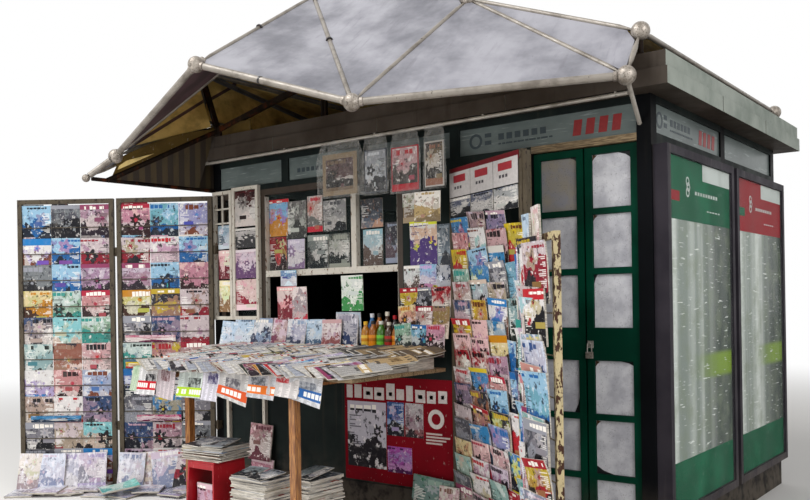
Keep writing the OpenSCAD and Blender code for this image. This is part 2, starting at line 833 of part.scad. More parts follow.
// Tube whose ends taper down to the balls
module ball_tube(a, b, d, neck, taper, cut_a = ball_cut) {
    v = b - a;
    len_v = norm(v);
    translate(a) rotate([0, acos(v[2] / len_v), atan2(v[1], v[0])]) {
        translate([0, 0, cut_a]) cylinder(d1 = neck, d2 = d, h = taper);
        translate([0, 0, cut_a + taper]) cylinder(d = d, h = len_v - cut_a - ball_cut - 2 * taper);
        translate([0, 0, len_v - ball_cut - taper]) cylinder(d1 = d, d2 = neck, h = taper);
    }
}

// Square bar between two points, with one pair of its faces upright
module bar(a, b, w, cut_a, cut_b) {
    v = b - a;
    len_v = norm(v);
    translate(a) rotate([0, acos(v[2] / len_v), atan2(v[1], v[0])])
        translate([-w / 2, -w / 2, cut_a]) cube([w, w, len_v - cut_a - cut_b]);
}

ball_cut = ball_d / 2 + touch;
lining_drop = panel_t + touch;
lining_inset = 30;
foot_w = 50;
bar_end = 90;
bar_end_left = 150;
tube_neck = 10;
tube_taper = 80;
eave_neck = 34;
eave_taper = 20;
tip_cap_d = 54;
eave_line = [node_corner, node_low_right, node_mid, node_low_left, node_tip];

rafters = [
    [node_mid, node_peak], [node_low_right, node_peak], [node_low_left, node_peak],
    [node_low_right, node_shoulder_right], [node_low_left, node_shoulder_left],
    [node_corner, node_shoulder_right], [node_corner, node_roof_right],
    [node_shoulder_right, node_peak], [node_shoulder_left, node_peak],
    [node_shoulder_right, node_roof_right], [node_shoulder_left, node_roof_left],
    [node_roof_right, node_rear_right], [node_rear_right, node_rear_shoulder],
    [node_rear_shoulder, node_rear_mid], [node_rear_left, node_rear_mid],
    [node_peak, node_rear_mid], [node_shoulder_right, node_rear_shoulder],
    [node_shoulder_left, node_rear_left], [node_shoulder_right, node_rear_mid],
    [node_shoulder_left, node_rear_mid], [node_shoulder_right, node_rear_right],
    [node_roof_left, node_rear_left], [node_low_left, node_roof_left]
];

// Where the tube from the tip to the roof first lies clear beside the eave tube
tip_angle = acos(unit(node_roof_left - node_tip) * unit(node_low_left - node_tip));
beside_eave = (eave_tube_d / 2 + tube_neck / 2 * cos(tip_angle) + touch) / sin(tip_angle);

// Stout tubes along the eaves and down to the tip, slim tubes in the folds and over the roof
module canopy_tubes() {
    color("silver") {
        for (i = [0 : 2]) ball_tube(eave_line[i], eave_line[i + 1], eave_tube_d, eave_neck, eave_taper);
        tube(node_low_left, node_tip, eave_tube_d, ball_cut, tip_cap_d / 2 + touch);
        for (r = rafters) ball_tube(r[0], r[1], rafter_tube_d, tube_neck, tube_taper);
        ball_tube(node_tip, node_roof_left, rafter_tube_d, tube_neck, tube_taper, beside_eave);
    }
}

module canopy_balls() {
    color("lightgray") {
        for (p = [node_corner, node_low_right, node_mid, node_low_left, node_peak,
                node_shoulder_right, node_shoulder_left, node_roof_right, node_roof_left,
                node_rear_right, node_rear_left, node_rear_mid, node_rear_shoulder])
            translate(p) sphere(d = ball_d);
        translate(node_tip) sphere(d = tip_cap_d);
    }
}

// Flat three-sided panel between three nodes, drawn back from the tubes and cut off at the balls
function unit(v) = v / norm(v);
function on_eave(p) = len([for (e = eave_line) if (e == p) e]) > 0;
function edge_gap(p, q) = touch + (
    on_eave(p) && on_eave(q) ? eave_tube_d / 2
    : p == node_bracket || q == node_bracket ? beam_w / 2 : rafter_tube_d / 2);
function corner_points(p, q, r, more) =
    let (u = unit(q - p), w = unit(r - p), turn = acos(u * w), m = unit(u + w),
        c = p + (u * (edge_gap(p, r) + more) + w * (edge_gap(p, q) + more)) / sin(turn),
        s = max(1, (ball_d / 2 + 3 - (c - p) * m) / cos(turn / 2)))
    [c + w * s, c + u * s];

module panel(a, b, c, more, drop) {
    z_axis = unit(cross(b - a, c - a));
    x_axis = unit(b - a);
    y_axis = cross(z_axis, x_axis);
    pts = concat(corner_points(a, b, c, more), corner_points(b, c, a, more), corner_points(c, a, b, more));
    flat = [for (p = pts) [(p - a) * x_axis, (p - a) * y_axis]];
    multmatrix([
        [x_axis[0], y_axis[0], z_axis[0], a[0]],
        [x_axis[1], y_axis[1], z_axis[1], a[1]],
        [x_axis[2], y_axis[2], z_axis[2], a[2]],
        [0, 0, 0, 1]
    ]) translate([0, 0, -panel_t / 2 - drop]) linear_extrude(panel_t) polygon(flat);
}

// Panels between the nodes, each named counter-clockwise as seen from outside
panel_faces = [
    [node_mid, node_low_right, node_peak], [node_low_left, node_mid, node_peak],
    [node_low_right, node_shoulder_right, node_peak], [node_low_left, node_peak, node_shoulder_left],
    [node_low_right, node_corner, node_shoulder_right],
    [node_corner, node_roof_right, node_shoulder_right],
    [node_roof_right, node_rear_right, node_shoulder_right],
    [node_shoulder_right, node_rear_right, node_rear_shoulder],
    [node_peak, node_shoulder_right, node_rear_mid],
    [node_shoulder_right, node_rear_shoulder, node_rear_mid],
    [node_peak, node_rear_mid, node_shoulder_left],
    [node_shoulder_left, node_rear_mid, node_rear_left],
    [node_roof_left, node_shoulder_left, node_rear_left],
    [node_low_left, node_shoulder_left, node_roof_left], [node_tip, node_low_left, node_roof_left]
];

module canopy_panels() {
    color("slategray", 0.6) for (f = panel_faces) panel(f[0], f[1], f[2], 0, 0);
}

// Thin lining under all the panels but the narrow one at the tip
side_low = [-half_w + rafter_tube_d / 2, front_y, node_tip[2]];
beam_foot = node_tip + unit(side_low - node_tip) * 160;
tip_turn = acos(unit(side_low - node_tip) * unit(node_low_left - node_tip));
side_clear = 3;
rail_start = (eave_tube_d / 2 + rafter_tube_d / 2 * cos(tip_turn) + touch) / sin(tip_turn);

module canopy_lining() {
    color("#9b7f4a") {
        for (i = [0 : len(panel_faces) - 2])
            panel(panel_faces[i][0], panel_faces[i][1], panel_faces[i][2], lining_inset, lining_drop);
        panel(node_low_left, node_shoulder_left, node_bracket, lining_inset, lining_drop);
        panel(beam_foot, node_low_left, node_bracket, lining_inset, lining_drop);
    }
}

// Sheets on both sides of the dark beam, from the side rail up to the tube above it
module canopy_side() {
    color("#8d7444") {
        side_sheet(beam_foot, node_bracket, side_low);
        panel(beam_foot, node_bracket, node_roof_left, 0, 0);
    }
}

// Upright sheet between the dark beam and the side rail, cut off just before the roof box
module side_sheet(tip, top, foot) {
    run = roof_y0 - side_clear - tip[1];
    z_axis = unit(cross(foot - tip, top - tip));
    x_axis = unit(foot - tip);
    y_axis = cross(z_axis, x_axis);
    up = top - tip;
    far_low = x_axis * run / x_axis[1];
    far_top = up * run / up[1];
    low_gap = rafter_tube_d / 2 + touch;
    top_gap = beam_w / 2 + touch;
    top_slope = (far_top * y_axis) / (far_top * x_axis);
    start = (low_gap + top_gap * sqrt(1 + top_slope * top_slope)) / top_slope;
    multmatrix([
        [x_axis[0], y_axis[0], z_axis[0], tip[0]],
        [x_axis[1], y_axis[1], z_axis[1], tip[1]],
        [x_axis[2], y_axis[2], z_axis[2], tip[2]],
        [0, 0, 0, 1]
    ]) translate([0, 0, -panel_t / 2]) linear_extrude(panel_t) polygon([
        [start, low_gap], [far_low * x_axis, low_gap],
        [far_top * x_axis, far_top * y_axis - top_gap * sqrt(1 + top_slope * top_slope)]
    ]);
}

// Dark beams that meet on a bracket on the roof's front edge, the side rail, a post under the long
// beam and the feet of the upper balls
module canopy_beams() {
    long_beam = node_shoulder_right - node_bracket;
    post_at = node_bracket + long_beam * 0.474;
    color("#2a2420") {
        tube(beam_foot, node_bracket, beam_w, 0, 0);
        bar(node_bracket, node_shoulder_right, beam_w, 0, bar_end);
        tube(node_bracket, node_shoulder_right, tube_neck, 0, ball_cut);
        bar(node_bracket, node_shoulder_left, beam_w, 0, bar_end_left);
        slab(node_bracket[0] - beam_w, node_bracket[0] + beam_w, node_bracket[1] - beam_w / 4,
            node_bracket[1] + beam_w * 0.7, roof_top, node_bracket[2]);
        for (dx = [-23, 5]) slab(post_at[0] + dx, post_at[0] + dx + 18, post_at[1] - 12, post_at[1] + 12,
            roof_top, post_at[2]);
        tube(node_tip, side_low, rafter_tube_d, rail_start, rail_end(side_low - node_tip, rafter_tube_d));
        for (p = [node_roof_right, node_roof_left, node_rear_right, node_rear_left, node_rear_mid,
                node_rear_shoulder]) {
            translate([p[0], p[1], roof_top]) {
                cylinder(d = rafter_tube_d, h = p[2] - roof_top - ball_cut);
                translate([-foot_w / 2, -foot_w / 2, 0]) cube([foot_w, foot_w, 6]);
            }
        }
    }
}

// How far short of a face across Y a tube along v has to end for its rim to touch the face
function rail_end(v, d) = (d / 2 * norm([v[0], v[2]]) + touch * norm(v)) / abs(v[1]);

// Slim pipe under the eaves with its clips, and the stay of the corner ball
module hanging_rail() {
    color("silver") {
        translate([-half_w + 4, rail_y, rail_z0]) rotate([0, 90, 0]) cylinder(d = rail_d, h = body_w - 70);
        for (i = [0 : 4]) slab(-half_w + 100 + i * 820, -half_w + 112 + i * 820, rail_y - 6, rail_y + 6,
            rail_z0, wall_top);
        stay_foot = [inner_x + 20, front_y, sign_z + 40];
        tube(node_corner, stay_foot, stay_d, ball_cut, rail_end(stay_foot - node_corner, stay_d));
    }
}

floor_deck();  // floor
skirting();
posts();
front_lower_wall();
front_pier();
left_wall();
rear_wall();
right_wall();
sign_rails();
sign_panels();
door_lintel();
soffit();
roof_fascia();
roof_deck();
window_frame();
window_sill();
window_glass();
window_strips();
at_left_leaf() leaf_frame();  // door_left
at_left_leaf() leaf_panes();  // door_left_panes
at_right_leaf() leaf_frame();  // door_right
at_right_leaf() leaf_panes();  // door_right_panes
door_hinges();
light_boxes();
light_box_glass();
table_slats();
table_battens();
rack_outer();
rack_inner();
rack_right();
rack_side();
left_rack_magazines();
right_rack_magazines();
window_magazines();
table_newspapers();
bottles();
stool();
stacks();
canopy_tubes();
canopy_balls();
canopy_panels();
canopy_lining();
canopy_side();
canopy_beams();
hanging_rail();
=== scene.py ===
"""Looks of the street kiosk: goods, trims, finishes, floor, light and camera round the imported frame."""

import logging
from collections.abc import Callable, Sequence
from dataclasses import dataclass, field
from enum import Enum
from functools import partial
from math import asin, cos, pi, radians, sin, tan
from random import Random

import bpy
from mathutils import Matrix, Vector


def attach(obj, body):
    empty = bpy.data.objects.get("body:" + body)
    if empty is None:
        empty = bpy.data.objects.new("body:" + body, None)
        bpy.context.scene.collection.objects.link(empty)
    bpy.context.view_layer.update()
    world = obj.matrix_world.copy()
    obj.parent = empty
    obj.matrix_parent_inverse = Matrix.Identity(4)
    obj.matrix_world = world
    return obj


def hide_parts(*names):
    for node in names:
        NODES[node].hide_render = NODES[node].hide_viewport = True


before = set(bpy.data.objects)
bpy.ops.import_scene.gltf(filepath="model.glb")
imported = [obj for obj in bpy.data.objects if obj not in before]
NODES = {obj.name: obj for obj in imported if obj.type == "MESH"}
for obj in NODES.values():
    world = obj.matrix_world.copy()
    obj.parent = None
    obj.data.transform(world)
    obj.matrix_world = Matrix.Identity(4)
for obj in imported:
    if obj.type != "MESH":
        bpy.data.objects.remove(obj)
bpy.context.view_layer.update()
LOG = logging.getLogger("kiosk")
MM = 0.001
HUT = "hut"
HERE = Matrix.Identity(4)
Socket = bpy.types.NodeSocket
Adder = Callable[..., Socket]
Spot = tuple[float, float]
Point = tuple[float, float, float]
Sheet = Callable[[float, float], Vector]


def linear(code: str) -> tuple[float, float, float, float]:
    """Turns an sRGB hex colour, six digits after a hash mark, into linear red, green, blue and an alpha of 1."""
    parts = [int(code[i : i + 2], 16) / 255 for i in (1, 3, 5)]
    return (*(c / 12.92 if c <= 0.04045 else ((c + 0.055) / 1.055) ** 2.4 for c in parts), 1.0)


def per_metre(size_mm: float) -> float:
    """Pattern scale whose features are size_mm across."""
    return 1000 / size_mm


def move(x: float, y: float, z: float) -> Matrix:
    """A place moved along the axes."""
    return Matrix.Translation((x, y, z))


def spin(axis: str, degrees: float) -> Matrix:
    """A place turned about one axis."""
    return Matrix.Rotation(radians(degrees), 4, axis)


SHORT = {
    "*": "Math.MULTIPLY", "+": "Math.ADD", "-": "Math.SUBTRACT", "*+": "Math.MULTIPLY_ADD", "<": "Math.LESS_THAN",
    ">": "Math.GREATER_THAN", "abs": "Math.ABSOLUTE", "max": "Math.MAXIMUM", "fract": "Math.FRACT",
    "floor": "Math.FLOOR", "ramp": "MapRange.SMOOTHSTEP", "mix": "MixRGB",
}
MODES = {"MixRGB": "blend_type", "MapRange": "interpolation_type"}


def add_node(tree: bpy.types.NodeTree, kind: str, *inputs: object, out: int | str = 0, **settings: object) -> Socket:
    """Adds a shader node, sets it and feeds its inputs.

    Args:
        tree: Node tree of the material.
        kind: A SHORT name, or a node type without its ShaderNode prefix, with its operation or mode after a dot.
        inputs: Sockets or plain values in order, hex colours, None to leave one alone, or one mapping by name.
        out: Output to return, by index or name.
        settings: Other properties of the node.

    Returns:
        The chosen output socket.
    """
    kind, _, mode = SHORT.get(kind, kind).partition(".")
    node = tree.nodes.new("ShaderNode" + kind)
    if mode:
        settings[MODES.get(kind, "operation")] = mode
    for name, value in settings.items():
        setattr(node, name, value)
    named = len(inputs) == 1 and isinstance(inputs[0], dict)
    for key, value in inputs[0].items() if named else enumerate(inputs):
        if isinstance(value, str):
            value = linear(value)
        if isinstance(value, Socket):
            tree.links.new(value, node.inputs[key])
        elif value is not None:
            node.inputs[key].default_value = value
    return node.outputs[out] if len(node.outputs) else None


def empty_tree(owner: bpy.types.Material | bpy.types.World) -> Adder:
    """Empties a node tree.

    Args:
        owner: Material or world that has the tree.

    Returns:
        What adds a node to it.
    """
    owner.use_nodes = True
    owner.node_tree.nodes.clear()
    return partial(add_node, owner.node_tree)


def in_scene(name: str, data: bpy.types.ID) -> bpy.types.Object:
    """Puts a new object in the scene.

    Args:
        name: Its name.
        data: Its mesh, light or camera.

    Returns:
        The object.
    """
    made = bpy.data.objects.new(name, data)
    bpy.context.scene.collection.objects.link(made)
    return made


@dataclass
class Look:
    """What a finish draws: colour, roughness and height sockets or plain values."""

    colour: object
    roughness: object
    height: object = None
    depth_mm: float = 0.3
    alpha: object = None


@dataclass(frozen=True)
class Finish:
    """A surface finish; each kind draws its own nodes in look()."""

    name: str

    metallic = 0.0
    ior = 1.5
    specular = 0.5
    transmission = 0.0

    def look(self, add: Adder) -> Look:
        """Draws the finish with an adder of nodes and returns what feeds the shader.

        Args:
            add: Adds a node to the material's tree.

        Returns:
            What feeds the shader.
        """
        raise NotImplementedError

    def build(self) -> bpy.types.Material:
        """Makes the material once and returns it.

        Returns:
            The material.
        """
        made = bpy.data.materials.get(self.name)
        if made:
            return made
        made = bpy.data.materials.new(self.name)
        add = empty_tree(made)
        look = self.look(add)
        inputs = {
            "Base Color": look.colour,
            "Roughness": look.roughness,
            "Metallic": self.metallic,
            "IOR": self.ior,
            "Specular IOR Level": self.specular,
            "Transmission Weight": self.transmission,
        }
        if look.alpha is not None:
            inputs["Alpha"] = look.alpha
        if look.height is not None:
            inputs["Normal"] = add("Bump", {"Distance": look.depth_mm * MM, "Height": look.height})
        add("OutputMaterial", add("BsdfPrincipled", inputs))
        made.diffuse_color = linear("#9a9a9a")
        return made


def blotches(add: Adder, size_mm: float, stretch: Sequence[float] = (1, 1, 1), detail: float = 4) -> Socket:
    """Noise of a real size in the piece's own coordinates.

    Args:
        add: Adds a node to the material's tree.
        size_mm: Size of the largest blotches.
        stretch: How many times longer they are along each axis.
        detail: Octaves.

    Returns:
        The noise value.
    """
    place = add("TexCoord", out="Object")
    place = add("Mapping", {"Vector": place, "Scale": [1 / s for s in stretch]})
    return add("TexNoise", place, None, per_metre(size_mm), detail, 0.6)


def stained(
    add: Adder, colour: object, stain: object, size_mm: float, low: float, high: float, share: float = 1.0,
    stretch: Sequence[float] = (1, 1, 1), detail: float = 4,
) -> Socket:
    """Lays up to a share of a stain over a colour, where blotches of a real size rise from low to high."""
    spread = add("ramp", blotches(add, size_mm, stretch, detail), low, high, 0, share)
    return add("mix", spread, colour, stain)


@dataclass(frozen=True)
class SprayedSteel(Finish):
    """Sheet steel with sprayed enamel. Years outdoors give it patches, rain streaks and a dusty foot."""

    colour: str
    shade: str
    grime: str = "#4e463c"
    streaks: float = 0.4
    dust: float = 0.5
    rough: float = 0.45
    rust: float = 0.0
    ior = 1.2
    specular = 0.2

    def look(self, add: Adder) -> Look:
        """Patches, streaks down the face, dust near the ground, rust spots and orange peel."""
        colour = stained(add, self.colour, self.shade, 420, 0.35, 0.65)
        colour = stained(add, colour, self.grime, 45, 0.54, 0.75, self.streaks, (1, 1, 22), 5)
        height = add("SeparateXYZ", add("TexCoord", out="Object"), out="Z")
        foot = add("ramp", height, 0.0, 0.45, self.dust, 0.0)
        foot = add("*", foot, add("ramp", blotches(add, 90), 0.3, 0.6))
        colour = add("mix", foot, colour, "#7a7064")
        if self.rust:
            colour = stained(add, colour, "#4a2412", 60, 0.6 - 0.16 * self.rust, 0.66, 1, (1, 1, 2.5), 6)
        rough = add("MapRange", blotches(add, 160), 0.3, 0.7, self.rough - 0.08, self.rough + 0.14)
        return Look(colour, rough, blotches(add, 5, detail=2), 0.12)


@dataclass(frozen=True)
class ChippedEnamel(Finish):
    """Brushed enamel that has chipped down to what is under it, along the bars."""

    colour: str = "#dcd8cf"
    under: str = "#6a4a30"
    chips: float = 0.08
    rough: float = 0.42
    aged: str = "#b7ad9b"
    specular = 0.25

    def look(self, add: Adder) -> Look:
        """Chips with a hard edge, a yellowed tone and brush marks."""
        tone = add("mix", blotches(add, 180), self.colour, self.aged)
        edge = 0.63 - 0.2 * self.chips
        chips = add("ramp", blotches(add, 22, (1, 1, 2.2), 6), edge, edge + 0.015)
        colour = add("mix", chips, tone, self.under)
        colour = stained(add, colour, "#6d6558", 12, 0.55, 0.8, 0.5, (1, 1, 3), 3)
        return Look(colour, self.rough, add("-", 1.0, chips), 0.25)


@dataclass(frozen=True)
class FasciaEnamel(SprayedSteel):
    """Eave enamel: dark brown along the front, street soot with painted shade from the canopy; paler grey green on the
    flanks, painted light where the sheet faces sideways.
    """

    def look(self, add: Adder) -> Look:
        """Dark sooty steel with painted shade where the sheet faces the front, paler paint with painted light where it
        faces sideways.
        """
        look = super().look(add)
        # Painted shade and light: front faces keep the dark colours, faces that point sideways turn pale grey green.
        facing = add("SeparateXYZ", add("NewGeometry", out="Normal"), out="X")
        lit_flank_paint = stained(add, "#9aa098", "#7f877f", 300, 0.35, 0.7)
        look.colour = add("mix", add(">", add("abs", facing), 0.6), look.colour, lit_flank_paint)
        return look


@dataclass(frozen=True)
class WindowEnamel(ChippedEnamel):
    """White enamel left on the inner bars only; the outer bars have worn to brown steel."""

    def look(self, add: Adder) -> Look:
        """Brown beyond 618 mm from the window's middle and above 2.196 m."""
        look = super().look(add)
        place = add("TexCoord", out="Object")
        x, z = (add("SeparateXYZ", place, out=axis) for axis in "XZ")
        outer = add(">", add("abs", add("+", x, 0.57)), 0.618)
        outer = add("max", outer, add(">", z, 2.196))
        look.colour = add("mix", outer, look.colour, add("mix", blotches(add, 60), "#2b2521", "#4a3d32"))
        return look


@dataclass(frozen=True)
class Timber(Finish):
    """Sawn softwood: long fibres, growth rings that show as bands, a few dark knots."""

    light: str
    dark: str
    along: int = 0
    weather: str = "#7d7263"
    worn: float = 0.2

    def look(self, add: Adder) -> Look:
        """Bands 14 mm apart and fibres 2 mm wide, drawn 3 mm to show."""
        stretch = [1.0, 1.0, 1.0]
        stretch[self.along] = 14.0
        bands = add("fract", add("*", blotches(add, 28, stretch, 2), 9.0))
        fibre = blotches(add, 6, stretch)
        grain = add("mix", add("ramp", bands, 0.2, 0.95), self.light, self.dark)
        grain = add("MixRGB.MULTIPLY", add("ramp", fibre, 0.4, 0.7), grain, self.dark)
        return Look(stained(add, grain, self.weather, 240, 0.4, 0.65, self.worn), 0.62, fibre, 0.4)


@dataclass(frozen=True)
class DrawnTube(Finish):
    """Drawn aluminium tube under thin silver paint: satin, dull where hands and rain have been."""

    colour: str = "#948d84"
    rough: float = 0.38
    metallic = 0.35

    def look(self, add: Adder) -> Look:
        """Cloudy dirt, small dark specks and faint drawing marks."""
        colour = stained(add, self.colour, "#4f463c", 130, 0.42, 0.72, 0.7, detail=6)
        colour = stained(add, colour, "#4b4238", 14, 0.66, 0.7, detail=3)
        rough = add("MapRange", blotches(add, 40), 0.3, 0.7, self.rough - 0.08, self.rough + 0.2)
        return Look(colour, rough, blotches(add, 9), 0.1)


@dataclass(frozen=True)
class CastAlloy(Finish):
    """Sand-cast aluminium node: pebbled skin, bright where it is rubbed and black in the pits."""

    metallic = 0.55

    def look(self, add: Adder) -> Look:
        """Pebbles 9 mm apart over broad dull patches."""
        pits = add("TexVoronoi", add("TexCoord", out="Object"), None, per_metre(9))
        pits = add("ramp", pits, 0.0, 0.55)
        colour = stained(add, "#b5aca2", "#867d73", 40, 0.35, 0.65)
        return Look(add("mix", pits, "#5d554c", colour), 0.42, pits, 0.8)


@dataclass(frozen=True)
class TwinWallSheet(Finish):
    """Smoked twin-wall plastic roof sheet: smooth skin with soot and rain marks that run downhill."""

    stain: str = "#62626a"
    ior = 1.45

    def look(self, add: Adder) -> Look:
        """Soft cloud of dirt, painted shade that darkens the sheet toward the left end, downhill marks and fine dark
        specks.
        """
        colour = stained(add, "#a09fa6", self.stain, 520, 0.35, 0.7, detail=5)
        # Painted shade: up to 45 % of the stain colour toward the left end of the sheet.
        left = add("SeparateXYZ", add("TexCoord", out="Object"), out="X")
        colour = add("mix", add("ramp", left, -0.5, -1.1, 0, 0.45), colour, self.stain)
        colour = stained(add, colour, "#57525c", 38, 0.56, 0.8, 0.35, (1, 7, 7))
        colour = stained(add, colour, "#3c3a40", 11, 0.7, 0.76, 0.5, detail=2)
        rough = add("MapRange", blotches(add, 200), 0.3, 0.7, 0.3, 0.52)
        return Look(colour, rough, blotches(add, 300, detail=1), 3.0)


@dataclass(frozen=True)
class CanopyLining(Finish):
    """Thin ochre plastic lining that has gone brown in patches; one bay is drawn plum brown as painted shade."""

    plane: tuple[float, float, float, float]

    def look(self, add: Adder) -> Look:
        """Ochre with water stains, and plum brown painted shade within 12 mm of the given plane."""
        stains = add("ramp", blotches(add, 260, detail=6), 0.38, 0.62)
        colour = add("mix", stains, "#f0d48a", "#b89c5e")
        colour = stained(add, colour, "#43361f", 70, 0.55, 0.72, 0.5, (1, 3, 3), 5)
        # Painted shade: the bay that lies in the given plane is drawn plum brown.
        level = add("VectorMath.DOT_PRODUCT", add("TexCoord", out="Object"), self.plane[:3], out="Value")
        near = add("<", add("abs", add("-", level, self.plane[3])), 0.012)
        plum = add("mix", stains, "#5a4248", "#3e2d30")
        return Look(add("mix", near, colour, plum), 0.6, blotches(add, 120, detail=3), 1.5)


@dataclass(frozen=True)
class StripedSheet(Finish):
    """Box-ribbed plastic side sheet: dark stripes where its ribs stand, with painted light through the sheet between
    them.
    """

    def look(self, add: Adder) -> Look:
        """Upright stripes 100 mm apart, with dirt down them."""
        run = add("VectorMath.DOT_PRODUCT", add("TexCoord", out="Object"), (0.78, 1.0, 0.0), out="Value")
        rib = add("<", add("fract", add("*", run, per_metre(100))), 0.52)
        # Painted light: the bands between the ribs are drawn lighter, as daylight through the sheet; the ribs are the
        # darker bands.
        colour = add("mix", rib, "#463a23", "#2b2219")
        return Look(stained(add, colour, "#2b2418", 50, 0.45, 0.75, 0.6, (1, 1, 8)), 0.55, rib, 2.0)


@dataclass(frozen=True)
class SignPlate(Finish):
    """Milky acrylic sign sheet, unlit: a pale blue grey drawn darker as painted shade under the canopy, cloudy, with
    thin wipe marks.
    """

    ior = 1.49
    specular = 0.2

    def look(self, add: Adder) -> Look:
        """Cloudy tone and thin wipe marks along the sheet."""
        # Painted shade: the sheet's grey is darkened for the canopy's shade.
        colour = stained(add, "#6d7775", "#525b5a", 340, 0.35, 0.7, 1, (2, 2, 1))
        return Look(stained(add, colour, "#cfd8d6", 14, 0.58, 0.74, 0.3, (12, 12, 1), 3), 0.28)


@dataclass(frozen=True)
class PaperedPane(Finish):
    """Window pane backed with torn grey-white paper: crumbs, brush marks and mould specks."""

    colour: str
    mottle: str = "#92929a"

    def look(self, add: Adder) -> Look:
        """Specks 7 mm apart over a mottled pale ground."""
        colour = stained(add, self.colour, self.mottle, 110, 0.3, 0.7, detail=6)
        crumbs = add("TexVoronoi", add("TexCoord", out="Object"), None, per_metre(7))
        crumbs = add("*", add("ramp", crumbs, 0.34, 0.2), add("ramp", blotches(add, 24), 0.45, 0.6))
        return Look(add("mix", add("*", crumbs, 0.6), colour, "#4c4a50"), 0.5, crumbs, 0.3)


@dataclass(frozen=True)
class FloatGlass(Finish):
    """Float glass with a film of street dust that dulls what it mirrors."""

    dust: float
    tint: str = "#9db0ae"
    ior = 1.52
    specular = 0.1

    def look(self, add: Adder) -> Look:
        """Mostly clear; the dust is thicker in patches."""
        cloud = add("ramp", blotches(add, 260, (1, 1, 3), 5), 0.35, 0.75)
        alpha = add("MapRange", cloud, 0, 1, self.dust, self.dust * 2.2)
        return Look(self.tint, 0.06, alpha=alpha)


@dataclass(frozen=True)
class InkedSheet(Finish):
    """Screen-printed vinyl or poster paper in one ink, with a little fading and grain."""

    colour: str
    fade: str
    rough: float
    ior = 1.15
    specular = 0.1

    def look(self, add: Adder) -> Look:
        """Broad fading and scuffs 20 mm long."""
        colour = stained(add, self.colour, self.fade, 300, 0.4, 0.75, detail=5)
        return Look(stained(add, colour, "#c8c8c0", 20, 0.64, 0.7, 0.3, (1, 1, 2), 5), self.rough)


@dataclass(frozen=True)
class FrostedSheet(Finish):
    """Lamp diffuser behind glass: milky, with upright bands of light and shade and old tape scars."""

    ior = 1.2
    specular = 0.2

    def look(self, add: Adder) -> Look:
        """Upright bands, a dark far third that mirrors the street, a lime strip behind, blotches, short scars."""
        colour = stained(add, "#d0d6d0", "#858f88", 190, 0.35, 0.65, 1, (1, 1, 40), 2)
        place = add("TexCoord", out="Object")
        y, z = (add("SeparateXYZ", place, out=axis) for axis in "YZ")
        run = add("fract", add("*+", y, 0.8333, 0.983))
        colour = add("mix", add("ramp", run, 0.4, 0.75, 0, 0.92), colour, "#2c3832")
        colour = stained(add, colour, "#7f8a72", 150, 0.4, 0.7, 0.5, detail=6)
        strip = add("ramp", add("abs", add("-", z, 1.0)), 0.09, 0.05)
        strip = add("*", strip, add("ramp", run, 0.3, 0.75))
        colour = add("mix", strip, colour, "#7d9a35")
        return Look(stained(add, colour, "#dfe4df", 14, 0.62, 0.67, 1, (1, 9, 1)), 0.25)


@dataclass(frozen=True)
class MouldedPlastic(Finish):
    """Injection-moulded polypropylene in one colour: soft shine, scuffs and a fine grain."""

    colour: str = "#b5121f"
    shade: str = "#7c0a14"

    def look(self, add: Adder) -> Look:
        """Scuffs with a hard edge over a slightly uneven tone."""
        colour = add("mix", blotches(add, 120), self.colour, self.shade)
        colour = stained(add, colour, "#d98a86", 16, 0.63, 0.7, 0.4, (1, 1, 3), 5)
        return Look(colour, 0.34, blotches(add, 3, detail=1), 0.05)


@dataclass(frozen=True)
class InkAttribute(Finish):
    """Moulded plastic or printed foil whose colour is its piece's own ink."""

    rough: float = 0.3
    tone_mm: float = 18.0
    specular = 0.2

    def look(self, add: Adder) -> Look:
        """The piece's ink with faint cloudiness."""
        ink = add("Attribute", attribute_name="paper_ink", out="Color")
        darker = add("MixRGB.MULTIPLY", 0.5, ink, "#4a4038")
        return Look(stained(add, ink, darker, self.tone_mm, 0.3, 0.75, 0.35), self.rough)


@dataclass(frozen=True)
class DrinkBottle(InkAttribute):
    """Clear PET bottle full of its drink: the drink's colour, wet shine."""

    specular = 0.6
    transmission = 0.35
    ior = 1.4


@dataclass(frozen=True)
class PageEdges(Finish):
    """Cut edges of a page block: cream paper in hair-thin layers, drawn 2 mm thick to show."""

    def look(self, add: Adder) -> Look:
        """Thin layers across the block, greyer in places."""
        layers = blotches(add, 5, (20, 20, 1))
        colour = add("mix", add("ramp", layers, 0.3, 0.7), "#8d877e", "#dcd6ca")
        return Look(stained(add, colour, "#b3a796", 60, 0.4, 0.7, 0.4), 0.85, layers, 0.8)


@dataclass(frozen=True)
class ClearFilm(Finish):
    """Polythene bag film: nearly clear, milky on its creases, with sharp glints."""

    def look(self, add: Adder) -> Look:
        """Creases 26 mm apart carry the milkiness and the glints."""
        creases = blotches(add, 26, (1, 1, 1.6), 5)
        alpha = add("MapRange", creases, 0.35, 0.75, 0.024, 0.192)
        return Look("#dddcd8", 0.12, creases, 4.0, alpha)


@dataclass(frozen=True)
class PrintedSheet(Finish):
    """A print that each copy lays out from its own seed and three inks, in its own 0 to 1 coordinates."""

    def sheet(self, add: Adder) -> tuple[list[Socket], ...]:
        """What a layout starts from.

        Args:
            add: Adds a node to the material's tree.

        Returns:
            Across and up; three seeds; paper, figure and accent ink; and a place in noise for this copy alone.
        """
        sheet = add("UVMap", uv_map="cover")
        seed = add("Attribute", attribute_name="layout", out="Vector")
        shift = add("VectorMath.SCALE", {0: seed, "Scale": 40.0})
        return (
            [add("SeparateXYZ", sheet, out=axis) for axis in "XY"],
            [add("SeparateXYZ", seed, out=axis) for axis in "XYZ"],
            [add("Attribute", attribute_name=name, out="Color") for name in INKS],
            [add("VectorMath.ADD", sheet, shift)],
        )


